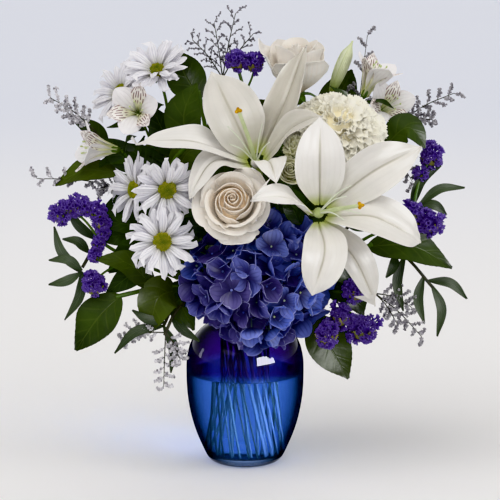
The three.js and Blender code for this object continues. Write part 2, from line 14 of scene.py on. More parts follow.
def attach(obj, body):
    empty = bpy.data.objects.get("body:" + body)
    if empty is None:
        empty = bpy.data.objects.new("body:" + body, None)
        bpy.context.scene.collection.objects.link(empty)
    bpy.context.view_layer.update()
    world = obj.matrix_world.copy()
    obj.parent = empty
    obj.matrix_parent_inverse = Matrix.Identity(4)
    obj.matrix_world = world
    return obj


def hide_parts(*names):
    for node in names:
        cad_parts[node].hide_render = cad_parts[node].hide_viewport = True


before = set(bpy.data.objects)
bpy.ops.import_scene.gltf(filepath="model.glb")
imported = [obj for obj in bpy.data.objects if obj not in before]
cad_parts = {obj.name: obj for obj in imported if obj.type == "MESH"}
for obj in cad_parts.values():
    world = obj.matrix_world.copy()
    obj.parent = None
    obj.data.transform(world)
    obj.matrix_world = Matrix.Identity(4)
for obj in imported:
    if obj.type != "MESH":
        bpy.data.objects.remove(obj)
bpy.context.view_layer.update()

bl_info = {
    "name": "Bouquet in a blue vase",
    "version": (1, 0, 0),
    "blender": (4, 5, 0),
    "location": "View3D > Sidebar > Bouquet",
    "description": "Models hydrangea, lilies, roses, daisies and foliage in a glass vase of water",
    "category": "Object",
}

MM = 0.001
UV_MAP = "UVMap"
TINT = "tint"
TAU = 2 * math.pi
GOLDEN_TURN = TAU * (1 - 1 / 1.618034)

# --- Places and sizes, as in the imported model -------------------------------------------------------

VASE_OUTSIDE = [  # radius and height
    (27, 0), (31.5, 3), (38.2, 16), (43, 28), (47, 42), (50, 60), (50.8, 78), (50.3, 92),
    (46.5, 106), (39, 116), (32, 122), (30, 128), (31, 134), (37, 142),
]
VASE_WALL = 3.4
VASE_FLOOR = 8
WATER_LEVEL = 80
STEM_FOOT_HEIGHT = 9.5
NECK_HEIGHT = 128
LIP_HEIGHT = 145
STEM_TURN = math.radians(60)
FREE_SECTOR_END = math.radians(70)
STEM_SECTOR = math.radians(310)
RINGS = {  # foot, neck and lip radius, and how many stems may stand there
    "outer": (26, 22, 27, 20),
    "middle": (18, 14, 16, 7),
    "inner": (9, 6, 7, 3),
}
HYDRANGEA_CENTRE = (11, -56, 173)
HYDRANGEA_RADII = (61, 50, 57)
HYDRANGEA_NODE = (2, -42, 162)
ROSES = {
    "front": {"base": (-10, -80, 233), "aim": (0, -0.9, 0.44), "radius": 31, "height": 40},
    "back": {"base": (45, -8, 322), "aim": (-0.06, -0.2, 0.97), "radius": 25.5, "height": 47},
}
ROSEBUD = {"base": (37, -74, 262), "aim": (0, -0.93, 0.37), "height": 22}
CARNATION_CENTRE = (74, -52, 293)
CARNATION_RADII = (43, 34, 34)
CARNATION_AXIS = Vector((0.05, -0.75, 0.66))
SMALL_CARNATION_CENTRE = (41, -82, 284)
SMALL_CARNATION_RADII = (10, 9, 12)
DAISY_RADIUS = 29
DAISY_DISC = 8
DAISIES = [  # its middle, where it faces, by how many degrees its rays stand up, its stalk's way
    ((-72, -38, 342), (-0.22, -0.66, 0.72), 14, [(-60, -26, 268), (-66, -28, 318)]),
    ((-64, -86, 252), (0.3, -0.93, -0.2), 2, [(-58, -48, 226)]),
    ((-89, -58, 247), (-0.8, -0.55, 0.2), 4, [(-72, -44, 226)]),
    ((-68, -90, 209), (0.25, -0.96, 0.1), 0, [(-60, -56, 206)]),
    ((-103, -15, 322), (-0.66, -0.55, 0.5), 8, [(-66, -22, 268), (-88, -12, 304)]),
]
DAISY_LOW = (-18, -10, 150)
DAISY_FORK = (-56, -34, 206)
ALSTROEMERIAS = [  # each one's base, where it faces, and its turn
    ((-88, -26, 306), (-0.12, -0.96, 0.25), 0.25),
    ((-104, -34, 277), (-0.96, -0.2, 0.14), -0.5),
    ((99, -14, 318), (0.42, -0.12, 0.9), -0.5),
    ((113, 6, 303), (0.32, -0.85, 0.4), 0.1),
]
LILY_FORK = (36, -32, 214)
LILY_BUD_BASE = (73, -6, 322)
LILY_BUD_AIM = (0.38, 0.1, 0.92)
# Each lily's petals with their shade: a petal's rib, where it faces, half its width, how deeply it is cupped,
# where along it is widest, and how pointed it is.
LILIES = {
    "left": {
        "base": (13, -52, 258), "throat": (9, -66, 270), "shade": (0.6, 0.1, 1.0, 0.8, 0.3, 0.2),
        "style": [(9, -66, 270), (4, -80, 290), (-5, -98, 317)],
        "filaments": [(-14, -94, 304), (14, -98, 306), (-12, -100, 290), (20, -102, 292)],
        "petals": [
            ([(6, -62, 276), (-8, -74, 308), (-27, -62, 346)], (0.3, -0.9, 0.1), 24, 0.25, 0.52, 0.75),
            ([(2, -66, 272), (-42, -88, 292), (-90, -74, 289)], (0, -0.5, 0.86), 17, 0.2, 0.5, 1.0),
            ([(13, -60, 277), (32, -64, 320), (50, -50, 367)], (-0.5, -0.86, 0.1), 14, 0.35, 0.5, 0.9),
            ([(16, -66, 272), (38, -84, 302), (61, -98, 314)], (-0.4, -0.6, 0.7), 13, 0.3, 0.55, 0.7),
            ([(4, -70, 268), (-26, -92, 276), (-46, -100, 246)], (-0.2, -0.6, 0.75), 13, 0.1, 0.5, 0.85),
            ([(13, -72, 267), (20, -100, 277), (25, -124, 264)], (-0.1, -0.2, 0.97), 14, 0.1, 0.5, 0.9),
        ],
    },
    "right": {
        "base": (55, -77, 230), "throat": (60, -92, 233), "shade": (0.05, 0.35, 0.3, 0.3, 0.4, 0.1),
        "style": [(60, -92, 233), (74, -118, 240), (91, -150, 248)],
        "filaments": [(84, -138, 262), (80, -142, 254), (92, -142, 240), (78, -146, 236)],
        "petals": [
            ([(61, -94, 240), (60, -118, 282), (60, -112, 314)], (0, -0.95, -0.2), 20, 0.3, 0.55, 0.7),
            ([(66, -94, 238), (104, -122, 272), (142, -112, 290)], (0.2, -0.93, 0.3), 19, 0.25, 0.58, 0.75),
            ([(67, -96, 231), (104, -128, 236), (143, -118, 214)], (0.1, -0.75, 0.65), 19, 0.2, 0.64, 0.5),
            ([(60, -98, 226), (64, -130, 208), (54, -136, 173)], (0.1, -0.95, 0.3), 18, 0.2, 0.55, 0.55),
            ([(64, -92, 226), (90, -112, 198), (108, -102, 157)], (0.4, -0.85, 0.3), 14, 0.2, 0.5, 0.9),
            ([(54, -96, 234), (30, -124, 252), (5, -132, 251)], (-0.1, -0.6, 0.8), 14, 0.2, 0.5, 0.85),
        ],
    },
}
# Each bloom's stem: its ring and place, its radius, its way beyond the lip, and its branches by radius.
STALKS = {
    "hydrangea": ("outer", 12, 2.4, [HYDRANGEA_NODE], []),
    "rose_front": ("outer", 11, 2.4, [(-12, -30, 204), (-12, -44, 236), (-10, -79.5, 232.8)], []),
    "rose_back": ("inner", 0, 2.4, [(2, 4, 180), (30, 0, 270), (45, -7.9, 321.5)], []),
    "carnation": ("middle", 5, 1.9, [(20, -14, 170), (52, -20, 236), (68, -34, 266)], []),
    "lily": ("middle", 4, 2.4, [(14, -24, 168), LILY_FORK], [
        (1.8, [LILY_FORK, (20, -44, 242), (14, -51, 256)]),
        (1.8, [LILY_FORK, (42, -44, 229), (50, -62, 231), (55, -75, 230)]),
        (1.8, [LILY_FORK, (46, -12, 256), (62, 0, 296), LILY_BUD_BASE]),
    ]),
    "alstroemeria_left": ("middle", 1, 1.9, [(-16, 4, 150), (-62, -14, 232)], [
        (1.2, [(-62, -14, 232), (-78, -16, 278), (-88, -25.5, 306)]),
        (1.2, [(-62, -14, 232), (-88, -26, 258), (-103.5, -34, 277)]),
    ]),
    "alstroemeria_right": ("middle", 6, 1.9, [(22, 0, 150), (74, -2, 250)], [
        (1.2, [(74, -2, 250), (86, -8, 290), (99, -14, 317.5)]),
        (1.2, [(74, -2, 250), (96, 2, 284), (113, 6.5, 303)]),
    ]),
}
STATICE = {  # stem as above, its stalks, and its tufts with their radii
    "top": ("middle", 0, [(-2, 8, 180), (2, -6, 300), (-2, -14, 330), (-7, -15, 347)],
            [[(0, -12, 322), (6, -15, 336), (8, -15, 344)]],
            [(-7, -15, 350, 8), (8, -15, 348, 8)]),
    "left": ("outer", 7, [(-42, -16, 158), (-92, -42, 184), (-122, -53, 206), (-123, -52, 224)],
             [[(-122, -53, 206), (-138, -52, 224), (-155, -52, 226)],
              [(-92, -42, 184), (-112, -54, 180), (-126, -57, 170)]],
             [(-123, -52, 228, 7), (-118, -53, 211, 6), (-137, -52, 233, 8),
              (-154, -52, 226, 8), (-125, -57, 191, 5), (-126, -57, 168, 10), (-147, -52, 231, 6),
              (-130, -53, 230, 5), (-120, -53, 219, 6), (-122, -55, 201, 5)]),
    "right": ("outer", 17,
              [(46, -8, 162), (104, -28, 202), (138, -38, 222), (146, -30, 248), (157, -22, 270)],
              [[(124, -36, 212), (138, -44, 220), (154, -42, 218)]],
              [(157, -22, 270, 9), (149, -26, 256, 6), (138, -44, 226, 9), (154, -43, 217, 10)]),
    "low": ("outer", 13, [(32, -34, 155), (66, -40, 157), (92, -60, 162)],
            [[(66, -40, 157), (80, -53, 148), (84, -66, 138)],
             [(80, -53, 148), (92, -60, 140), (99, -62, 131)],
             [(80, -65, 142), (74, -70, 136), (69, -74, 131)]],
            [(92, -61, 164, 10), (80, -65, 142, 9), (99, -62, 130, 11), (68, -75, 129, 10)]),
}
LIMONIUM = {  # stem as above, and for each spray where it starts and where its twigs end
    "top": ("outer", 2, [(-16, 26, 180), (-18, 6, 300), (-19, 2, 334)],
            [((-19, 2, 334), [(-8, 5, 388), (-44, 0, 366), (7, 5, 371), (-26, 4, 380)])]),
    "left": ("outer", 4, [(-34, 14, 166), (-84, -10, 220), (-112, -22, 262), (-126, -24, 292)],
             [((-126, -24, 292), [(-163, -20, 319), (-148, -22, 306)]),
              ((-100, -19, 242), [(-124, -34, 244), (-174, -35, 253)])]),
    "right": ("outer", 19, [(40, 14, 166), (76, 20, 236), (106, 20, 270), (130, 0, 295)],
              [((130, 0, 295), [(176, -10, 322), (158, -12, 300)]),
               ((92, 21, 253), [(86, 12, 320), (104, 10, 369)]),
               ((118, 12, 283), [(141, -26, 249)])]),
    "low_left": ("outer", 10, [(-36, -38, 154), (-56, -56, 146), (-67, -68, 126)],
                 [((-66, -67, 128), [(-68, -66, 82), (-100, -60, 120), (-54, -70, 106)])]),
    "low_right": ("outer", 14, [(36, -27, 162), (80, -43, 172), (109, -50, 158)],
                  [((109, -50, 158), [(149, -46, 120), (128, -50, 132), (140, -50, 146)])]),
}
# How pale each spray's cups may get: painted light and shade, the top spray kept darkest as painted shade
# against the bright room. Within a spray the cups differ at random.
LIMONIUM_PAINTED_LIGHT = {"top": 0.25, "left": 0.95, "right": 0.45, "low_left": 1.0, "low_right": 0.6}
SALAL = {  # stem as above, its side stalks, and its leaves with the way each faces and half its width
    "left_high": ("outer", 5, [(-38, 4, 164), (-62, -34, 240), (-60, -44, 268), (-46, -50, 284)],
                  [[(-60, -30, 232), (-84, -30, 250), (-110, -32, 258)],
                   [(-84, -30, 250), (-104, -14, 268), (-120, -12, 283)]],
                  [([(-48, -50, 282), (-50, -52, 310), (-40, -46, 334)], (-0.4, -0.9, 0.1), 17),
                   ([(-58, -38, 252), (-46, -52, 278), (-18, -52, 280)], (-0.1, -0.8, 0.6), 13),
                   ([(-106, -32, 257), (-134, -36, 260), (-160, -30, 247)], (0.1, -0.6, 0.8), 13),
                   ([(-116, -12, 280), (-130, -12, 292), (-144, -14, 299)], (-0.4, -0.8, 0.4), 8)]),
    "left_low": ("outer", 8, [(-40, -24, 157), (-72, -46, 162), (-108, -55, 156)], [],
                 [([(-104, -55, 157), (-122, -62, 140), (-142, -60, 111)], (-0.3, -0.9, 0.35), 18),
                  ([(-76, -47, 162), (-98, -62, 186), (-124, -62, 190)], (0.1, -0.8, 0.6), 12),
                  ([(-56, -37, 158), (-72, -60, 156), (-80, -62, 126)], (-0.1, -0.95, 0.3), 17),
                  ([(-42, -26, 157), (-54, -48, 152), (-43, -58, 128)], (-0.1, -0.95, 0.3), 14)]),
    "right_high": ("inner", 2, [(16, -6, 170), (78, -14, 244), (106, -28, 268), (120, -38, 284)],
                   [], [([(117, -36, 281), (136, -42, 297), (151, -42, 280)], (0.2, -0.7, 0.7), 14)]),
    "right_low": ("outer", 15, [(40, -20, 162), (78, -40, 184), (106, -52, 200)],
                  [[(38, -19, 160), (50, -34, 144), (60, -45, 136)]],
                  [([(102, -50, 198), (138, -60, 200), (174, -50, 180)], (0.1, -0.7, 0.7), 17),
                   ([(58, -42, 138), (72, -52, 112), (88, -52, 85)], (0.2, -0.95, 0.2), 19),
                   ([(66, -34, 175), (82, -50, 184), (94, -54, 166)], (0.2, -0.95, 0.1), 14),
                   ([(58, -30, 172), (84, -44, 166), (100, -46, 138)], (0.1, -0.95, 0.2), 18)]),
    "back_left": ("outer", 1, [(-8, 34, 164), (-24, 44, 220), (-34, 38, 284), (-40, 30, 320)], [],
                  [([(-39, 32, 312), (-52, 34, 334), (-60, 22, 356)], (-0.3, 0.9, 0.2), 17),
                   ([(-34, 38, 284), (-4, 48, 296), (20, 36, 312)], (0.1, 0.9, 0.3), 17),
                   ([(-30, 41, 258), (-62, 50, 272), (-90, 34, 270)], (-0.3, 0.9, 0.3), 18),
                   ([(-24, 44, 220), (-58, 56, 224), (-88, 44, 206)], (-0.3, 0.85, 0.45), 18),
                   ([(-16, 40, 190), (-42, 58, 178), (-62, 56, 150)], (-0.3, 0.85, 0.4), 17)]),
    "back_right": ("outer", 0, [(10, 36, 164), (32, 46, 216), (52, 38, 272), (66, 28, 304)], [],
                   [([(64, 30, 298), (82, 32, 318), (92, 20, 340)], (0.3, 0.9, 0.2), 15),
                    ([(46, 41, 256), (20, 56, 262), (-6, 54, 252)], (0, 0.95, 0.3), 17),
                    ([(50, 39, 266), (84, 46, 270), (108, 30, 256)], (0.3, 0.9, 0.3), 17),
                    ([(32, 46, 216), (68, 58, 216), (98, 44, 200)], (0.3, 0.85, 0.45), 18),
                    ([(22, 42, 190), (10, 62, 204), (-12, 66, 190)], (0, 0.9, 0.45), 16),
                    ([(18, 40, 182), (44, 60, 170), (62, 56, 142)], (0.3, 0.85, 0.4), 17)]),
}
EUCALYPTUS = {  # stem as above, and its leaves from base to tip
    "left": ("outer", 6, [(-42, -3, 160), (-84, -18, 198), (-118, -38, 206), (-136, -50, 180)],
             [((-137, -53, 176), (-159, -52, 215)), ((-124, -41, 202), (-148, -42, 231)),
              ((-131, -46, 192), (-152, -52, 204)), ((-136, -53, 178), (-163, -57, 187)),
              ((-137, -53, 176), (-164, -58, 167)), ((-136, -53, 177), (-150, -59, 137))]),
    "low_left": ("outer", 9, [(-38, -32, 154), (-58, -48, 149), (-68, -60, 132)],
                 [((-67, -60, 135), (-94, -64, 146)), ((-68, -60, 132), (-62, -64, 93)),
                  ((-62, -52, 143), (-38, -60, 119)), ((-68, -60, 132), (-109, -66, 110))]),
    "right": ("outer", 18, [(46, 2, 166), (100, -14, 216), (126, -24, 222), (148, -30, 231)],
              [((140, -28, 226), (165, -28, 263)), ((147, -30, 230), (185, -28, 244)),
               ((147, -30, 229), (170, -34, 222))]),
    "low_right": ("outer", 16, [(44, -12, 162), (84, -28, 190), (116, -42, 197), (133, -48, 190),
                                (158, -46, 162)],
                  [((154, -46, 168), (187, -44, 152)), ((150, -47, 172), (151, -50, 132)),
                   ((157, -46, 164), (162, -48, 121)), ((126, -46, 190), (118, -54, 172)),
                   ((134, -48, 190), (133, -52, 143))]),
}

# Leaves on the stems that darken the gaps between the flowers: partly foliage that is there, partly dark
# leaves that stand in for the shade between the flowers. Each has its base, tip and half width.
GAP_LEAVES = {
    "rose_front": [((-17, -45, 228), (-36, -45, 274), 12), ((-30, -50, 206), (-48, -52, 236), 12),
                   ((-24, -40, 238), (4, -44, 270), 9), ((3, -45, 226), (20, -45, 264), 11),
                   ((-14, -42, 240), (-21, -46, 292), 10),
                   ((-20, -40, 215), (-52, -46, 240), 12)],
    "lily": [((33, -50, 224), (42, -50, 258), 9), ((46, -60, 218), (31, -60, 247), 9),
             ((80, -60, 226), (112, -58, 218), 12), ((56, -48, 204), (92, -58, 164), 13),
             ((40, -46, 222), (70, -50, 250), 13)],
    "daisy": [((-86, -24, 258), (-127, -26, 285), 12), ((-90, -40, 206), (-122, -48, 203), 9),
              ((-84, -44, 212), (-126, -46, 219), 8), ((-46, -35, 225), (-54, -36, 280), 14),
              ((-79, -40, 222), (-110, -42, 236), 12),
              ((-60, -50, 224), (-44, -56, 196), 11), ((-70, -30, 250), (-100, -22, 280), 14),
              ((-60, -28, 270), (-78, -24, 312), 13), ((-76, -44, 204), (-114, -50, 176), 13),
              ((-78, -46, 184), (-116, -52, 158), 10), ((-84, -30, 236), (-122, -32, 222), 10)],
}

# --- Lines ------------------------------------------------------------------------------------------


def spread(points, count):
    """count points evenly spaced along a broken line."""
    lengths = [0.0]
    for a, b in zip(points, points[1:]):
        lengths.append(lengths[-1] + (b - a).length)
    even, k = [], 0
    for i in range(count):
        want = lengths[-1] * i / (count - 1)
        while k < len(points) - 2 and lengths[k + 1] < want:
            k += 1
        step = lengths[k + 1] - lengths[k]
        even.append(points[k].lerp(points[k + 1], (want - lengths[k]) / step if step else 0))
    return even


def spline(points, count):
    """count points evenly spaced on a smooth curve through the given ones."""
    knots = [Vector(p) for p in points]
    knots = [2 * knots[0] - knots[1], *knots, 2 * knots[-1] - knots[-2]]
    fine, parts = [knots[1]], 12
    for a, b, c, d in zip(knots, knots[1:], knots[2:], knots[3:]):
        before, here, after = ((q - p).length ** 0.5 for p, q in ((a, b), (b, c), (c, d)))
        leave = c - b + here * ((b - a) / before - (c - a) / (before + here))
        arrive = c - b + here * ((d - c) / after - (d - b) / (here + after))
        for k in range(1, parts + 1):
            t = k / parts
            fine.append(b * (1 - 3 * t * t + 2 * t**3) + c * (3 * t * t - 2 * t**3)
                        + leave * (t - 2 * t * t + t**3) + arrive * (t**3 - t * t))
    return spread(fine, count)


def headings(points):
    """The direction of a line at each of its points."""
    last = len(points) - 1
    return [(points[min(i + 1, last)] - points[max(i - 1, 0)]).normalized() for i in range(last + 1)]


def rounded(profile, count):
    """A line of radius and height, made smooth."""
    return [(p.x, p.z) for p in spline([(r, 0, h) for r, h in profile], count)]


def around(radius, turn, height=0.0):
    """A place round the +Z axis."""
    return Vector((radius * math.cos(turn), radius * math.sin(turn), height))


def stretched(way, radii):
    """A direction taken out to the skin of an oval body."""
    return Vector(w * r for w, r in zip(way, radii))


def stray(pick, reach=1.0):
    """A random small step."""
    return Vector(pick.uniform(-reach, reach) for _ in range(3))


def stem_route(ring, index, beyond):
    """A way from the vase's floor through the neck, and on through the places given."""
    foot, neck, lip, places = RINGS[ring]
    angle = FREE_SECTOR_END + (index + 0.5) / places * STEM_SECTOR
    low, high = around(foot, angle + STEM_TURN, STEM_FOOT_HEIGHT), around(neck, angle, NECK_HEIGHT)
    inside = [low.lerp(high, share) for share in (0, 0.33, 0.67, 1)]
    return [*inside, around(lip, angle, LIP_HEIGHT), *beyond]


def smooth(low, high, x):
    """0 below low, 1 above high, and an even change between."""
    x = min(max((x - low) / (high - low), 0.0), 1.0)
    return x * x * (3 - 2 * x)


def outline(t, fullest=0.5, base=0.1, swell=0.9, tip=0.7, end=0.05):
    """Half a petal's width as a share, at t from base to tip. A tip below 1 is round, above 1 pointed."""
    if t < fullest:
        return base + (1 - base) * math.sin(0.5 * math.pi * t / fullest) ** swell
    return end + (1 - end) * max(math.cos(0.5 * math.pi * (t - fullest) / (1 - fullest)), 0.0) ** tip


def pointing(place, aim, turn=0.0, scale=1.0):
    """The matrix that stands a shape made along +Z at place, along aim."""
    spin = Matrix.Rotation(turn, 4, "Z")
    stand = Vector(aim).to_track_quat("Z", "Y").to_matrix().to_4x4()
    return Matrix.Translation(Vector(place)) @ stand @ spin @ Matrix.Scale(scale, 4)


# --- Meshes -----------------------------------------------------------------------------------------


def bent_grid(place, columns, rows, thick, crowd=1.5):
    """A grid whose points go where place(u, t) says, u from -1 to 1 across and t from 0 to 1 up, closed
    to a thin solid. crowd above 1 draws the rows together towards the tip."""
    part = bmesh.new()
    part.loops.layers.uv.new(UV_MAP)
    bmesh.ops.create_grid(part, x_segments=columns, y_segments=rows, size=1, calc_uvs=True)
    for vert in part.verts:
        vert.co = place(vert.co.x, 1 - ((1 - vert.co.y) / 2) ** crowd)
    bmesh.ops.remove_doubles(part, verts=part.verts, dist=0.01)
    bmesh.ops.solidify(part, geom=part.faces[:], thickness=thick)
    return part


def blade(rib, face, shape, columns=8, rows=18, thick=0.4, crowd=1.5):
    """A petal or a leaf along a rib. shape(u, t) says how far along the rib, sideways and up a point is."""
    count = 33
    line = spline(rib, count)
    ways = headings(line)

    def place(u, t):
        along, across, raised = shape(u, t)
        here = min(max(along, 0.0), 1.0) * (count - 1)
        k = min(int(here), count - 2)
        way = ways[k].lerp(ways[k + 1], here - k).normalized()
        side = way.cross(Vector(face)).normalized()
        past = (along - min(max(along, 0.0), 1.0)) * (line[-1] - line[0]).length
        return line[k].lerp(line[k + 1], here - k) + side * across + side.cross(way) * raised + way * past

    return bent_grid(place, columns, rows, thick, crowd)


def strap(half, form, hollow, power=2.0):
    """The shape of a plain blade: half its width, its outline, and how far its sides rise."""
    return lambda u, t: (t, half * outline(t, *form) * u, hollow * abs(u) ** power)


def tube(points, radii, sides=8):
    """A closed round tube along points. radii holds one radius for the whole tube or one for each point."""
    if not isinstance(radii, (list, tuple)):
        radii = [radii] * len(points)
    part = bmesh.new()
    part.loops.layers.uv.new(UV_MAP)
    ring = bmesh.ops.create_circle(part, cap_ends=True, radius=1, segments=sides)["verts"]

    def stand(place, way, wide):
        return Matrix.Translation(place) @ way.to_matrix().to_4x4() @ Matrix.Scale(wide, 4)

    ways = headings(points)
    turn = ways[0].to_track_quat("Z", "Y")
    now = stand(points[0], turn, radii[0])
    bmesh.ops.transform(part, matrix=now, verts=ring)
    edges = list({edge for vert in ring for edge in vert.link_edges})
    for i in range(1, len(points)):
        made = bmesh.ops.extrude_edge_only(part, edges=edges)["geom"]
        ring = [g for g in made if isinstance(g, bmesh.types.BMVert)]
        edges = [g for g in made if isinstance(g, bmesh.types.BMEdge)]
        turn = ways[i - 1].rotation_difference(ways[i]) @ turn
        after = stand(points[i], turn, radii[i])
        bmesh.ops.transform(part, matrix=after @ now.inverted(), verts=ring)
        now = after
    bmesh.ops.edgeloop_fill(part, edges=edges)
    bmesh.ops.recalc_face_normals(part, faces=part.faces)
    return part


def lathe(profile, sides):
    """A solid turned about +Z from a profile of radius and height that starts and ends on the axis."""
    part = bmesh.new()
    part.loops.layers.uv.new(UV_MAP)
    verts = [part.verts.new((r, 0, h)) for r, h in profile]
    edges = [part.edges.new(pair) for pair in zip(verts, verts[1:])]
    bmesh.ops.spin(part, geom=verts + edges, cent=(0, 0, 0), axis=(0, 0, 1), dvec=(0, 0, 0),
                   angle=TAU, steps=sides, use_merge=True, use_duplicate=False)
    bmesh.ops.remove_doubles(part, verts=part.verts, dist=0.001)
    bmesh.ops.recalc_face_normals(part, faces=part.faces)
    return part


def bead(radii, detail=1):
    """A small round or oval body."""
    part = bmesh.new()
    part.loops.layers.uv.new(UV_MAP)
    bmesh.ops.create_icosphere(part, subdivisions=detail, radius=1)
    bmesh.ops.scale(part, vec=radii, verts=part.verts)
    return part


class Shape:
    """A growing mesh in millimetres. Each part is made in a small bmesh and then poured in."""

    def __init__(self):
        self.bm = bmesh.new()

    def pour(self, part, matrix=None, tint=0.0, finish=0):
        """Takes over a part, with its tint and the number of its material."""
        layer = part.verts.layers.float.new(TINT)
        for vert in part.verts:
            vert[layer] = tint(vert.co) if callable(tint) else tint
        for face in part.faces:
            face.material_index = finish
            face.smooth = True
        mesh = bpy.data.meshes.new("part")
        part.to_mesh(mesh)
        part.free()
        if matrix is not None:
            mesh.transform(matrix)
        self.bm.from_mesh(mesh)
        bpy.data.meshes.remove(mesh)

    def stamp(self, pattern, matrix, tint=None):
        """Adds a copy of a finished pattern mesh."""
        copy = pattern.copy()
        copy.transform(matrix)
        if tint is not None:
            copy.attributes[TINT].data.foreach_set("value", [tint] * len(copy.vertices))
        self.bm.from_mesh(copy)
        bpy.data.meshes.remove(copy)

    def as_mesh(self, name="pattern"):
        """The shape as a mesh, still in millimetres."""
        mesh = bpy.data.meshes.new(name)
        self.bm.to_mesh(mesh)
        self.bm.free()
        return mesh

    def finish(self, name, finishes, slot, *nodes):
        """Makes the shape a piece of the bouquet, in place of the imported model's nodes."""
        mesh = self.as_mesh(name)
        mesh.transform(Matrix.Scale(MM, 4))
        mesh.set_sharp_from_angle(angle=math.radians(50))
        for finish in finishes:
            mesh.materials.append(material(finish))
        piece = bpy.data.objects.new(name, mesh)
        bpy.context.scene.collection.objects.link(piece)
        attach(piece, "root")
        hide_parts(*nodes)
        return piece


# --- Materials --------------------------------------------------------------------------------------

WHITE = (1.0, 1.0, 1.0, 1.0)
PLANT_SHEEN = 0.2
GLASS_REFRACTION = 1.45
WATER_REFRACTION = 1.33
GLASS_SHADE = (0.85, 0.87, 0.92, 1)  # what the light of a lamp keeps on its way through
WATER_SHADE = (0.95, 0.96, 0.98, 1)

def linear(code):
    """A colour for shader sockets from its six-figure code."""
    parts = [int(code[i:i + 2], 16) / 255 for i in (1, 3, 5)]
    return (*(c / 12.92 if c <= 0.04045 else ((c + 0.055) / 1.055) ** 2.4 for c in parts), 1.0)


class Graph:
    """Short calls that add nodes to one node tree."""

    def __init__(self, tree):
        self.tree = tree

    def node(self, kind, **settings):
        made = self.tree.nodes.new("ShaderNode" + kind)
        for key, value in settings.items():
            setattr(made, key, value)
        return made

    def feed(self, socket, value):
        if isinstance(value, bpy.types.NodeSocket):
            self.tree.links.new(value, socket)
        elif value is not None:
            socket.default_value = value

    def math(self, operation, *values, clamp=False):
        made = self.node("Math", operation=operation, use_clamp=clamp)
        for socket, value in zip(made.inputs, values):
            self.feed(socket, value)
        return made.outputs[0]

    def times(self, first, second):
        return self.math("MULTIPLY", first, second)

    def mix(self, factor, first, second, blend="MIX"):
        made = self.node("Mix", data_type="RGBA", blend_type=blend)
        for index, value in ((0, factor), (6, first), (7, second)):
            self.feed(made.inputs[index], value)
        return made.outputs[2]

    def ramp(self, value, low, high, to_low=0.0, to_high=1.0):
        """A smooth change from to_low at low to to_high at high."""
        made = self.node("MapRange", interpolation_type="SMOOTHSTEP")
        for socket, given in zip(made.inputs, (value, low, high, to_low, to_high)):
            self.feed(socket, given)
        return made.outputs[0]

    def grain(self, scale, detail=2.0):
        """Noise over the object's own place, from 0 to 1."""
        made = self.node("TexNoise")
        self.feed(made.inputs["Vector"], self.node("TexCoord").outputs["Object"])
        self.feed(made.inputs["Scale"], scale)
        made.inputs["Detail"].default_value = detail
        return made.outputs["Fac"]

    def across_and_along(self):
        """Where a point is on a petal or leaf: 0 to 1 across it, and 0 at its base to 1 at its tip."""
        parts = self.node("SeparateXYZ")
        self.feed(parts.inputs[0], self.node("UVMap", uv_map=UV_MAP).outputs[0])
        return parts.outputs[0], parts.outputs[1]

    def tint(self):
        return self.node("Attribute", attribute_name=TINT).outputs["Fac"]


def node_group(name, build, inputs):
    """A shader node group, built once. inputs holds each socket's default, which is a colour or a number."""
    group = bpy.data.node_groups.get(name)
    if group is None:
        group = bpy.data.node_groups.new(name, "ShaderNodeTree")
        for title, default in inputs.items():
            kind = "Color" if default == WHITE else "Float"
            socket = group.interface.new_socket(title, in_out="INPUT", socket_type="NodeSocket" + kind)
            socket.default_value = default
        for title, kind in (("Colour", "Color"), ("Height", "Float")):
            group.interface.new_socket(title, in_out="OUTPUT", socket_type="NodeSocket" + kind)
        graph = Graph(group)
        given, taken = group.nodes.new("NodeGroupInput"), group.nodes.new("NodeGroupOutput")
        for title, value in build(graph, given.outputs).items():
            graph.feed(taken.inputs[title], value)
    return group


def dashes(graph, u, v):
    """Short strokes along a petal's middle, in columns that begin at different heights."""
    column = graph.times(u, 7.0)
    start = graph.node("TexWhiteNoise", noise_dimensions="1D")
    graph.feed(start.inputs["W"], graph.math("FLOOR", column))
    beat = graph.math("FRACT", graph.math("MULTIPLY_ADD", v, 4.0, start.outputs["Value"]))
    off = graph.math("ABSOLUTE", graph.math("SUBTRACT", graph.math("FRACT", column), 0.5))
    stroke = graph.times(graph.ramp(beat, 0.76, 0.66), graph.ramp(off, 0.24, 0.14))
    middle = graph.times(graph.ramp(v, 0.34, 0.44), graph.ramp(v, 0.92, 0.84))
    return graph.times(stroke, middle)


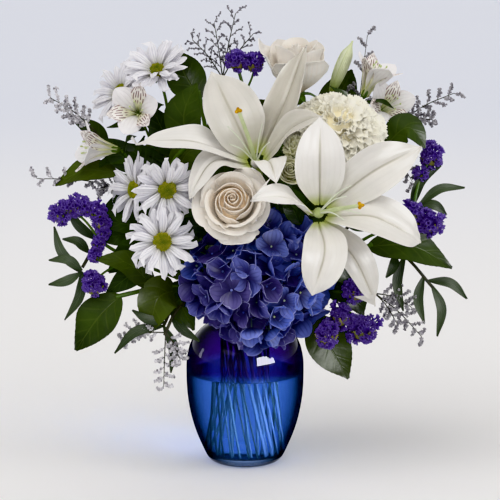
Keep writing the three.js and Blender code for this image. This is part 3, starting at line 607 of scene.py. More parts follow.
def build_petal_tissue(graph, given):
    u, v = graph.across_and_along()
    sway = graph.times(graph.math("SUBTRACT", graph.grain(60.0), 0.5), 0.06)
    line = graph.times(graph.math("ADD", u, sway), graph.times(given["Veins"], TAU))
    wave = graph.math("POWER", graph.math("MULTIPLY_ADD", graph.math("SINE", line), 0.5, 0.5), 4.0)
    vein = graph.times(wave, graph.ramp(v, 0.98, 0.5))
    colour = graph.mix(graph.tint(), given["Colour"], given["Tinted Colour"])
    rim = graph.math("ABSOLUTE", graph.math("MULTIPLY_ADD", u, 2.0, -1.0))
    start = given["Edge Start"]
    edge = graph.math("MAXIMUM", graph.ramp(rim, start, 1.0), graph.ramp(v, start, 1.0))
    colour = graph.mix(graph.times(edge, given["Edge Amount"]), colour, given["Edge Colour"])
    colour = graph.mix(graph.ramp(v, given["Base End"], 0.0), colour, given["Base Colour"])
    colour = graph.mix(graph.times(vein, given["Vein Amount"]), colour, given["Vein Colour"])
    midrib = graph.times(graph.ramp(rim, 0.09, 0.0), graph.ramp(v, 0.9, 0.6))
    colour = graph.mix(graph.times(midrib, given["Midrib Amount"]), colour, given["Vein Colour"])
    blush = graph.times(graph.ramp(graph.grain(35.0), 0.52, 0.7), given["Blush Amount"])
    colour = graph.mix(blush, colour, given["Blush Colour"])
    dashed = graph.times(dashes(graph, u, v), given["Dash Amount"])
    colour = graph.mix(dashed, colour, given["Dash Colour"])
    shade = graph.ramp(graph.grain(given["Mottle Scale"], 3.0), 0.3, 0.7, 0.93, 1.0)
    tone = graph.node("CombineColor")
    for socket in tone.inputs:
        graph.feed(socket, shade)
    return {
        "Colour": graph.mix(1.0, colour, tone.outputs[0], "MULTIPLY"),
        "Height": graph.math("MULTIPLY_ADD", graph.grain(900.0, 1.0), 0.25, graph.times(vein, -1.0)),
    }


def petal_tissue():
    return node_group("Petal Tissue", build_petal_tissue, {
        "Colour": WHITE, "Tinted Colour": WHITE, "Edge Colour": WHITE, "Edge Start": 0.7, "Edge Amount": 0.0,
        "Base Colour": WHITE, "Base End": 0.3, "Vein Colour": WHITE, "Veins": 9.0, "Vein Amount": 0.2,
        "Blush Colour": WHITE, "Blush Amount": 0.0, "Midrib Amount": 0.0,
        "Dash Colour": WHITE, "Dash Amount": 0.0, "Mottle Scale": 90.0,
    })


def build_leaf_veins(graph, given):
    u, v = graph.across_and_along()
    side = graph.math("ABSOLUTE", graph.math("MULTIPLY_ADD", u, 2.0, -1.0))
    midrib = graph.ramp(side, 0.05, 0.01)
    bow = graph.times(graph.math("POWER", side, 0.7), -0.22)
    place = graph.times(graph.math("ADD", v, bow), graph.times(given["Side Veins"], TAU))
    lines = graph.math("POWER", graph.math("MULTIPLY_ADD", graph.math("SINE", place), 0.5, 0.5), 14.0)
    lines = graph.times(lines, graph.ramp(side, 1.0, 0.6, 0.0, 0.4))
    veins = graph.math("MAXIMUM", midrib, lines)
    spots = graph.ramp(graph.grain(given["Mottle Scale"], 4.0), 0.35, 0.7)
    colour = graph.mix(spots, given["Colour"], given["Second Colour"])
    colour = graph.mix(graph.tint(), colour, given["Tinted Colour"])
    return {
        "Colour": graph.mix(graph.times(veins, given["Vein Amount"]), colour, given["Vein Colour"]),
        "Height": graph.math("MULTIPLY_ADD", veins, -1.0, graph.times(graph.grain(420.0), 0.5)),
    }


def leaf_veins():
    return node_group("Leaf Veins", build_leaf_veins, {
        "Colour": WHITE, "Second Colour": WHITE, "Tinted Colour": WHITE,
        "Vein Colour": WHITE, "Vein Amount": 0.5, "Side Veins": 8.0, "Mottle Scale": 40.0,
    })


def build_mottle(graph, given):
    broad = graph.ramp(graph.grain(given["Scale"], 3.0), 0.35, 0.65)
    fine = graph.grain(graph.times(given["Scale"], 6.0), 2.0)
    colour = graph.mix(broad, given["Colour"], given["Second Colour"])
    return {
        "Colour": graph.mix(graph.tint(), colour, given["Tinted Colour"]),
        "Height": graph.math("ADD", broad, fine),
    }


def mottle():
    return node_group("Mottle", build_mottle, {
        "Colour": WHITE, "Second Colour": WHITE, "Tinted Colour": WHITE, "Scale": 120.0,
    })


def petal_finish(colour, tinted, edge, base, veins, spots, relief, roughness,
                 scatter=0.0, midrib=0.0, blush=("#ffffff", 0.0), dash=("#ffffff", 0.0)):
    """A petal's finish. edge is its colour, start and amount, base its colour and end, veins their colour,
    number and amount, blush and dash their colour and amount, and spots the scale of its mottle."""
    return petal_tissue, {
        "Colour": colour, "Tinted Colour": tinted, "Edge Colour": edge[0], "Edge Start": edge[1],
        "Edge Amount": edge[2], "Base Colour": base[0], "Base End": base[1], "Vein Colour": veins[0],
        "Veins": veins[1], "Vein Amount": veins[2], "Blush Colour": blush[0], "Blush Amount": blush[1],
        "Midrib Amount": midrib, "Dash Colour": dash[0], "Dash Amount": dash[1], "Mottle Scale": spots,
    }, relief, {"Roughness": roughness, "Subsurface Weight": scatter}


def leaf_finish(colour, second, tinted, veins, spots, relief, roughness):
    """A leaf's finish. veins holds their colour, their amount and how many stand on each side."""
    return leaf_veins, {
        "Colour": colour, "Second Colour": second, "Tinted Colour": tinted, "Vein Colour": veins[0],
        "Vein Amount": veins[1], "Side Veins": veins[2], "Mottle Scale": spots,
    }, relief, {"Roughness": roughness}


def mottled_finish(colour, second, tinted, scale, relief, roughness):
    """A finish with two colours in spots."""
    return mottle, {
        "Colour": colour, "Second Colour": second, "Tinted Colour": tinted, "Scale": scale,
    }, relief, {"Roughness": roughness}


FINISHES = {  # colours by their code or by their name in the settings, and relief in millimetres
    # Hydrangea petals darken towards their bases: painted shade in the hollow of each floret. The veins take
    # the same colour as their own.
    "hydrangea_petal": petal_finish(
        "hydrangea", "hydrangea_light", edge=("hydrangea_rim", 0.9, 0.7), base=("hydrangea_vein_and_shade", 0.7),
        veins=("hydrangea_vein_and_shade", 5, 0.35), spots=140, relief=0.12, roughness=0.6, blush=("#4e3a72", 0.15)),
    "hydrangea_eye": mottled_finish("#8a92d8", "#5b62b8", "#c8d8a0", 300, 0.1, 0.5),
    "lily_petal": petal_finish(
        "lily", "lily_shade", edge=("lily", 0.8, 0.3), base=("lily_throat", 0.15), midrib=0.9,
        veins=("lily_vein", 9, 0.05), spots=45, relief=0.05, roughness=0.42, scatter=0.15),
    "lily_green": mottled_finish("#c6d28a", "#aebf68", "#e9eedd", 160, 0.1, 0.35),
    "stigma": mottled_finish("#d9a90c", "#b8860a", "#e8d070", 500, 0.3, 0.7),
    "bud_green": petal_finish(
        "#e6ecca", "#dfe6b4", edge=("#cfdb9a", 0.7, 0.6), base=("#9cb060", 0.5),
        veins=("#b6c67c", 5, 0.4), spots=90, relief=0.3, roughness=0.45, scatter=0.15),
    "rose_petal": petal_finish(
        "rose", "rose_heart", edge=("rose_rim", 0.8, 0.5), base=("rose_heart", 0.35),
        veins=("rose_heart", 12, 0.12), spots=70, relief=0.15, roughness=0.55, scatter=0.15),
    "carnation_petal": petal_finish(
        "carnation", "carnation_heart", edge=("#fffdf0", 0.75, 0.7), base=("#fff6d6", 0.6),
        veins=("#f6eed2", 7, 0.15), spots=90, relief=0.1, roughness=0.7, blush=("#f8f5d2", 0.2)),
    "greenish_petal": petal_finish(
        "#f6f4d4", "#eceab8", edge=("#faf8e2", 0.75, 0.6), base=("#dcdea0", 0.6),
        veins=("#d9d79a", 7, 0.2), spots=90, relief=0.15, roughness=0.6, scatter=0.4),
    # Daisy rays: the grey base by the disc and the lilac-grey grooves are painted shade.
    "daisy_petal": petal_finish(
        "daisy", "#e2e0ea", edge=("daisy", 0.8, 0.2), base=("#c8c6bc", 0.45),
        veins=("#b6b2c8", 3, 0.35), spots=120, relief=0.3, roughness=0.5, scatter=0.25),
    "daisy_disc": mottled_finish("daisy_disc", "#8f9a2a", "#5c7426", 380, 0.3, 0.75),
    "alstroemeria_petal": petal_finish(
        "alstroemeria", "#f6f0f2", edge=("#f8f1f4", 0.75, 0.5), base=("#dfe3b0", 0.35),
        veins=("#dccfd6", 6, 0.25), spots=100, relief=0.2, roughness=0.45, scatter=0.25),
    "alstroemeria_dashed": petal_finish(
        "#f6f2ea", "#f0e6e4", edge=("#f4eaee", 0.8, 0.4), base=("#dfe39a", 0.7),
        veins=("#dcc3d2", 5, 0.2), spots=100, relief=0.2, roughness=0.45, scatter=0.2, dash=("#66262c", 0.9)),
    # Its tinted colour is the painted veil of light on the stems under water; the hydrangea's small twigs
    # take a little of it too.
    "stem_green": mottled_finish("stem", "#56702e", "#c9cddd", 90, 0.2, 0.5),
    "salal_leaf": leaf_finish("leaf", "leaf_light", "#6f7f2e", ("#66763a", 0.35, 6), 28, 0.3, 0.46),
    "stem_leaf": leaf_finish("#1c2a0f", "#2c4016", "#486030", ("#5c7440", 0.4, 7), 50, 0.2, 0.42),
    "eucalyptus_leaf": leaf_finish("grey_leaf", "#46523a", "#5c6a50", ("#7f8e72", 0.5, 12), 60, 0.2, 0.6),
    # Its tinted colour lies on the rims of the cups: a painted highlight.
    "statice_petal": mottled_finish("statice", "#3e2680", "#957fcc", 260, 0.3, 0.7),
    "statice_flower": mottled_finish("#b4a2dc", "#9a86cc", "#d8c8e8", 300, 0.1, 0.7),
    "calyx": mottled_finish("#7f8448", "#687040", "#a59a66", 260, 0.2, 0.6),
    # Cups range from dark to pale: the dark ones are partly their own colour, partly painted shade among the
    # cups.
    "limonium_cup": mottled_finish("#4e4b54", "#7e7a84", "limonium", 260, 0.1, 0.8),
    # Its tinted colour is the painted veil of light on the stalks under water.
    "twig": mottled_finish("#35362a", "#4a4b38", "#8d9a84", 200, 0.2, 0.75),
}


def hue(word):
    """A colour from the settings by its name, or from its code."""
    return linear(word) if word.startswith("#") else tuple(getattr(bpy.context.scene.bouquet, word))


def material(name):
    """The finish of that name, made at its first use."""
    title = name + "_finish"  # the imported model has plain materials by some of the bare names
    made = bpy.data.materials.get(title)
    if made:
        return made
    group, values, relief, own = FINISHES[name]
    made = bpy.data.materials.new(title)
    made.use_nodes = True
    graph = Graph(made.node_tree)
    shader = made.node_tree.nodes["Principled BSDF"]
    for socket, value in {"Specular IOR Level": PLANT_SHEEN, **own}.items():
        shader.inputs[socket].default_value = value
    if own.get("Subsurface Weight"):
        shader.inputs["Subsurface Radius"].default_value = (1.0, 0.9, 0.85)
        shader.inputs["Subsurface Scale"].default_value = 0.003
    effect = graph.node("Group", node_tree=group())
    for socket, value in values.items():
        effect.inputs[socket].default_value = hue(value) if isinstance(value, str) else value
    bump = graph.node("Bump")
    bump.inputs["Distance"].default_value = relief * MM
    graph.feed(bump.inputs["Height"], effect.outputs["Height"])
    graph.feed(shader.inputs["Normal"], bump.outputs[0])
    graph.feed(shader.inputs["Base Color"], effect.outputs["Colour"])
    return made


def clear_material(name, refraction, shade, colour):
    """Glass or water, of the colour that colour(graph) gives. Light from lamps passes it tinted with shade,
    so that what stands inside is lit."""
    made = bpy.data.materials.new(name)
    made.use_nodes = True
    graph = Graph(made.node_tree)
    shader = made.node_tree.nodes["Principled BSDF"]
    graph.feed(shader.inputs["Base Color"], colour(graph))
    for socket, value in (("Roughness", 0.0), ("IOR", refraction), ("Transmission Weight", 1.0)):
        shader.inputs[socket].default_value = value
    shader.inputs["Specular Tint"].default_value = (0.45, 0.45, 0.5, 1)
    passing = graph.node("BsdfTransparent")
    passing.inputs["Color"].default_value = shade
    blend = graph.node("MixShader")
    graph.feed(blend.inputs[0], graph.node("LightPath").outputs["Is Shadow Ray"])
    graph.feed(blend.inputs[1], shader.outputs[0])
    graph.feed(blend.inputs[2], passing.outputs[0])
    graph.feed(made.node_tree.nodes["Material Output"].inputs["Surface"], blend.outputs[0])
    return made


# --- Settings ---------------------------------------------------------------------------------------


def size(name, description, millimetres):
    return FloatProperty(name=name, description=description, default=millimetres * MM, min=0.0,
                         unit="LENGTH", precision=4)


def tone(name, description, code):
    return FloatVectorProperty(name=name, description=description, default=linear(code), size=4,
                               min=0.0, max=1.0, subtype="COLOR")


class BouquetSettings(bpy.types.PropertyGroup):
    """What a user may change before the pieces are made."""

    floret: size("Floret", "From the middle of a hydrangea floret to a petal's tip", 17)
    florets: IntProperty(name="Florets", description="Hydrangea florets in the outer layer", default=72)
    ray_width: size("Ray width", "Width of one daisy ray", 7.2)
    rays: IntProperty(name="Rays", description="Rays in the outer layer of a daisy", default=18)
    ruffles: IntProperty(name="Ruffles", description="Petals of the carnation", default=440)
    petal_thickness: size("Petal thickness", "Thickness of rose and lily petals", 0.5)
    glass: tone("Glass", "Cobalt glass below the water line", "#9cb8ee")
    # The glass above the water line takes a darker colour than below it: painted shade.
    glass_neck_shade: tone("Glass at the neck", "Cobalt glass above the water line", "#7a68b0")
    # Where the wall is seen edge on, the glass is painted near black: partly its longer way through the
    # glass, partly painted shade of the dark it reflects.
    glass_edge_depth_and_shade: tone("Glass edge", "Cobalt glass where it is seen along its wall", "#03040e")
    water: tone("Water", "The water in the vase", "#e8f2ff")
    hydrangea: tone("Hydrangea", "Darker florets", "#666099")
    hydrangea_light: tone("Hydrangea light", "Lighter florets", "#8599f2")
    hydrangea_rim: tone("Hydrangea rim", "Petal margins", "#b2b4e0")
    # Its colour draws the veins, and also the darkening at the petal bases, which is painted shade.
    hydrangea_vein_and_shade: tone("Hydrangea deep", "Petal bases and veins", "#3b3864")
    lily: tone("Lily", "Lily petals", "#f8f5f0")
    lily_shade: tone("Lily shade", "Lily petals that stand in the shade", "#cbc6b9")
    lily_throat: tone("Lily throat", "Base of the lily petals", "#c6d080")
    lily_vein: tone("Lily vein", "Veins of the lily petals", "#bfbaab")
    rose: tone("Rose", "Rose petals", "#fbf7f0")
    rose_heart: tone("Rose heart", "Inner rose petals", "#ffe7c8")
    rose_rim: tone("Rose rim", "Edges of rose petals", "#fbf6ee")
    carnation: tone("Carnation", "Carnation petals", "#fffcf2")
    carnation_heart: tone("Carnation heart", "Inner carnation petals", "#fcf6de")
    daisy: tone("Daisy", "Daisy rays", "#f9f7fa")
    daisy_disc: tone("Daisy disc", "Daisy centre", "#c2b844")
    alstroemeria: tone("Alstroemeria", "Alstroemeria petals", "#f9f7f6")
    statice: tone("Statice", "Papery purple cups", "#6349b4")
    limonium: tone("Limonium", "Tiny cups of the misty sprays", "#f2f0f4")
    stem: tone("Stem", "Green stems", "#4c6e2c")
    leaf: tone("Leaf", "Broad leaves", "#243214")
    leaf_light: tone("Leaf light", "Lighter parts of the broad leaves", "#3b4e1d")
    grey_leaf: tone("Grey leaf", "Narrow leaves", "#343f2e")
    # The floor near the vase is lighter than further off: painted light against the bouquet's shadow.
    floor: tone("Floor", "The plain floor", "#faf9f9")
    far_floor: tone("Far floor", "The floor further away", "#e7eaf4")


# --- Pieces -----------------------------------------------------------------------------------------


def add_stalk(shape, ring, index, radius, beyond, finish=0, sides=8):
    """A round stem from the vase's floor to the last place given. In the water it is thin, and painted paler,
    more so to the right: a painted veil of light."""
    route = spline(stem_route(ring, index, beyond), 40)
    thin = 0.52
    radii = [radius * (thin + (1 - thin) * smooth(70, 150, spot.z) + 0.03 * math.sin(1.7 * i))
             for i, spot in enumerate(route)]

    # How far the stem is painted pale under water: a painted veil of light, stronger to the right.
    def painted_veil(spot):
        return (0.35 + 0.25 * smooth(-10, 25, spot.x)) * smooth(100, 70, spot.z)

    shape.pour(tube(route, radii, sides), finish=finish, tint=painted_veil)


def add_branch(shape, points, radius, finish=0, sides=6, tip=0.8, tint=0.0):
    """A round side branch that thins towards its end."""
    route = spline(points, 4 + 4 * len(points))
    radii = [radius * (1 - (1 - tip) * i / (len(route) - 1)) for i in range(len(route))]
    shape.pour(tube(route, radii, sides), finish=finish, tint=tint)


def add_leaves(shape, points, count, reach, half, finish=1):
    """Plain leaves that stand off a stem by turns along points."""
    pick = random.Random(count * reach)
    line = spline(points, 2 * count + 1)
    ways = headings(line)
    for i in range(count):
        spot, way, length = line[2 * i + 1], ways[2 * i + 1], reach * pick.uniform(0.8, 1.2)
        side = way.orthogonal().normalized()
        side.rotate(Matrix.Rotation(i * GOLDEN_TURN, 3, way))
        wave, phase = pick.uniform(0.5, 1.5), pick.uniform(0, TAU)
        rib = [spot, spot + length * (0.45 * side + 0.35 * way), spot + length * (0.95 * side + 0.45 * way)]

        def place(u, t):
            raised = 0.2 * half * abs(u) ** 1.4 + wave * u * u * math.sin(9 * t + phase)
            return t, half * outline(t, 0.42, 0.1, 0.8, 1.05) * u, raised

        part = blade(rib, way + Vector((0, -0.5, 0)), place, 8, 16, 0.4)
        shape.pour(part, tint=pick.uniform(0, 0.4), finish=finish)


def add_gap_leaves(shape, leaves, finish=1):
    """Broad plain leaves from base to tip."""
    for base, tip, half in leaves:
        base, tip = Vector(base), Vector(tip)
        pick = random.Random(half)
        rib = [base, base.lerp(tip, 0.5) + Vector((0, -4, 2)), tip]
        leaf = strap(half, (0.42, 0.06, 0.75, 1.05), 0.16 * half, 1.4)
        shape.pour(blade(rib, (0.2, -0.9, 0.3), leaf, 12, 24, 0.4), tint=0.1 * pick.random(), finish=finish)


def finish_stalk(shape, name, node):
    """Makes a bloom's stem and leaves a piece."""
    shape.finish(name, ["stem_green", "stem_leaf"], "stem", node)


class BouquetOperator:
    """What the bouquet's operators share."""

    bl_options = {"REGISTER", "UNDO"}

    def execute(self, context):
        self.make(context.scene.bouquet)
        return {"FINISHED"}


def vase_outline():
    """The vase's outside as a smooth line of radius and height, from its foot to its lip."""
    return rounded(VASE_OUTSIDE, 90)


def vase_inside():
    """The hollow as a line of radius and height, from the middle of its floor to its lip."""
    upper = [(r - VASE_WALL, h) for r, h in vase_outline() if h > VASE_FLOOR + 6]
    corner = [(share * upper[0][0], VASE_FLOOR + rise)
              for share, rise in ((0, 0), (0.5, 0), (0.8, 0.4), (0.93, 2.4))]
    return [*corner, *upper]


class BOUQUET_OT_vase(BouquetOperator, bpy.types.Operator):
    """Turns the glass vase and the water in it"""

    bl_idname = "bouquet.vase"
    bl_label = "Vase and water"

    def make(self, settings):
        outside, inside = vase_outline(), vase_inside()
        round_off = VASE_WALL / 2
        lip_radius, lip = outside[-1][0] - round_off, outside[-1][1] - round_off
        outside = [p for p in outside if p[1] < lip]
        inside = [p for p in inside if p[1] < lip]
        rounding = [(lip_radius + round_off * math.cos(a), lip + round_off * math.sin(a))
                    for a in (math.pi * i / 8 for i in range(9))]
        foot = [(0, 0), (25.5, 0)]
        vase = Shape()
        vase.pour(lathe([*foot, *outside[1:], *rounding, *reversed(inside)], 128))
        piece = vase.finish("glass_vase", [], "glass", "vase")

        def cobalt(graph):
            height = graph.node("SeparateXYZ")
            graph.feed(height.inputs[0], graph.node("TexCoord").outputs["Object"])
            # Above the water line the glass is painted darker: painted shade, as the inside there lies in the
            # flowers' shadow.
            up = graph.ramp(height.outputs[2], (WATER_LEVEL - 4) * MM, (WATER_LEVEL + 8) * MM)
            colour = graph.mix(up, tuple(settings.glass), tuple(settings.glass_neck_shade))
            # Where the wall is seen edge on, it is painted near black: partly the longer way through the
            # glass, partly painted shade of the dark it reflects.
            facing = graph.node("LayerWeight")
            facing.inputs["Blend"].default_value = 0.5
            side = graph.ramp(facing.outputs["Facing"], 0.1, 0.62)
            return graph.mix(side, colour, tuple(settings.glass_edge_depth_and_shade))

        glass = clear_material("cobalt_glass", GLASS_REFRACTION, GLASS_SHADE, cobalt)
        piece.data.materials.append(glass)
        water = Shape()
        # The water reaches a little into the glass, so that no film of air lies between them.
        into = 0.15
        below = [(r + into if r else 0, h - into) for r, h in inside if h < WATER_LEVEL - 1]
        edge = below[-1][0]
        level = [(edge + 0.1, WATER_LEVEL), (edge - 1.5, WATER_LEVEL - 0.8), (0, WATER_LEVEL - 0.9)]
        water.pour(lathe([*below, *level], 96))
        piece = water.finish("vase_water", [], "water", "water")
        clear = clear_material("clear_water", WATER_REFRACTION, WATER_SHADE, lambda _: tuple(settings.water))
        piece.data.materials.append(clear)


def hydrangea_floret(seed, reach):
    """Four broad overlapping petals round a small eye, open or cupped, facing +Z."""
    pick = random.Random(seed)
    shape = Shape()
    cup = pick.uniform(0.0, 1.15)
    for i in range(4):
        length = reach * pick.uniform(0.84, 1.08)
        half = length * pick.uniform(0.5, 0.6)
        rise = cup + pick.uniform(-0.3, 0.3)
        lift, arch, fold = 0.5 * (i % 2), pick.uniform(-0.12, 0.14) * length, pick.uniform(-0.2, 0.5)
        waves, phase, skew = pick.uniform(0.3, 1.0), pick.uniform(0, TAU), pick.uniform(-0.12, 0.12)
        near, far = 0.5 * length, length
        rib = [(0.8, 0, lift + 0.3),
               (near * math.cos(0.7 * rise), 0, lift + near * math.sin(0.7 * rise) + arch),
               (far * math.cos(rise), 0, lift + far * math.sin(rise))]

        def petal(u, t):
            wide = half * outline(t, 0.6, 0.12, 0.75, 0.62, 0.2)
            pace = 3.2 if u > 0 else 2.56
            ripple = waves * u * u * t * math.sin(pace * t * math.pi + phase + 2 * u)
            crease = fold * wide * (math.sqrt(u * u + 0.02) - 0.14) - 0.35 * math.exp(-30 * u * u)
            return t * (1 + skew * u * t - 0.05 * u * u), wide * u, crease + ripple

        turn = Matrix.Rotation(i * math.pi / 2 + pick.uniform(-0.12, 0.12), 4, "Z")
        shape.pour(blade(rib, (0, 0, 1), petal, 8, 8, 0.3, 1.35), turn)
    shape.pour(bead((1.1, 1.1, 0.9), 2), Matrix.Translation((0, 0, 1.2)), finish=1)
    return shape.as_mesh("floret")


def head_places(count, last):
    """Evenly strewn directions from straight ahead (-Y) to last, as a share of the way to the back."""
    for i in range(count):
        y = -1 + 2 * last * (i + 0.5) / count
        ring, turn = math.sqrt(1 - y * y), i * GOLDEN_TURN
        yield Vector((ring * math.cos(turn), y, ring * math.sin(turn)))


class BOUQUET_OT_hydrangea(BouquetOperator, bpy.types.Operator):
    """Builds the blue hydrangea head from its florets, and its stem"""

    bl_idname = "bouquet.hydrangea"
    bl_label = "Hydrangea"

    PATTERNS = 14
    FORKS = 7

    def make(self, settings):
        pick = random.Random(11)
        patterns = [hydrangea_floret(seed, settings.floret / MM) for seed in range(self.PATTERNS)]
        centre, radii = Vector(HYDRANGEA_CENTRE), Vector(HYDRANGEA_RADII)
        head, stalk = Shape(), Shape()
        add_stalk(stalk, *STALKS["hydrangea"][:4], sides=10)
        node = Vector(HYDRANGEA_NODE)
        turns = [TAU * i / self.FORKS for i in range(self.FORKS)]
        forks = [centre + Vector((26 * math.cos(turn), 2, 24 * math.sin(turn))) for turn in turns]
        for fork in forks:
            add_branch(stalk, [node, (node + fork) / 2 + Vector((0, 3, 0)), fork], 1.6)
        layers = (  # how many florets, how far back and how far out they stand, and how much painted shade darkens them
            (settings.florets, 0.76, 0.87, 0.0),
            (settings.florets * 2 // 3, 0.7, 0.62, 0.7),
        )
        for count, last, share, dark in layers:
            for way in head_places(count, last):
                spot = stretched(way, radii) * (share * pick.uniform(0.9, 1.07))
                out = Vector(w / r for w, r in zip(way, radii)).normalized()
                out = (out + 0.72 * stray(pick)).normalized()
                # Florets grow lighter towards the top and the right of the head, as painted light, and the
                # inner layer darker, as painted shade; the rest of their tint differs at random.
                tint = max(0.0, min(1.0, pick.gauss(0.44, 0.38) - dark + 0.25 * way.z + 0.5 * way.x))
                floret, turn, scale = pick.choice(patterns), pick.uniform(0, TAU), pick.uniform(0.86, 1.06)
                head.stamp(floret, pointing(centre + spot - 2 * out, out, turn, scale), tint)
                fork = min(forks, key=lambda f: (f - centre - spot).length)
                middle = fork.lerp(centre + spot, 0.5) - 2 * out
                add_branch(stalk, [fork, middle, centre + spot - 2.4 * out], 0.8, sides=5, tint=0.4)
        add_leaves(stalk, [(-4, -30, 150), HYDRANGEA_NODE, (4, -50, 172)], 4, 44, 17)
        head.finish("hydrangea_florets", ["hydrangea_petal", "hydrangea_eye"], "hydrangea_petal",
                    "hydrangea_head")
        finish_stalk(stalk, "hydrangea_stalk", "hydrangea_stem")


def add_rose_petal(shape, matrix, seed, thick, tint, turn, size, flare, roll, point, twist, close=0.0):
    """One petal wrapped round +Z. size is its radius, its height and half the angle it goes round. flare
    leans its top out and close draws it in, roll curls its rim back, point draws out the middle of its rim,
    and twist winds one side outwards."""
    radius, height, half_angle = size
    pick = random.Random(seed)
    ripple, phase = pick.uniform(0.3, 1.0) * radius / 30, pick.uniform(0, TAU)

    def place(u, t):
        corner = 1 - 0.24 * abs(u) ** 3.0 + point * max(1 - 1.6 * abs(u), 0) ** 1.4 * t * t
        rise = t * corner
        wide = half_angle * (0.22 + 0.78 * smooth(0, 0.6, t))
        r = radius * math.sin(min(rise * 1.5, 1) * math.pi / 2) ** 0.75
        r *= 1 - close * smooth(0.45, 1.05, rise)
        lean = smooth(0.4, 1.05, rise)
        curl = smooth(0.76, 1.0, max(rise, 0.6 * abs(u) ** 2 + 0.48 * t)) * t
        r += flare * lean + roll * curl + twist * radius * u
        h = height * rise - (0.35 * flare) * lean - roll * curl * curl * 0.9
        r += ripple * math.sin(phase + 3 * u + 4 * t) * t
        return around(r, turn + wide * u, h)

    shape.pour(bent_grid(place, 18, 16, thick, 1.3), matrix, tint)


def add_sepals(shape, matrix, reach, drop, finish=1):
    """Five green sepals under a rose."""
    rib = [(2, 0, 1), (0.6 * reach, 0, 0.5), (reach, 0, drop)]
    for i in range(5):
        sepal = blade(rib, (0, 0, 1), strap(3.2, (0.3, 0.5, 0.8, 1.2), 0.8), 4, 10, 0.6)
        shape.pour(sepal, matrix @ Matrix.Rotation(TAU * i / 5 + 0.3, 4, "Z"), finish=finish)


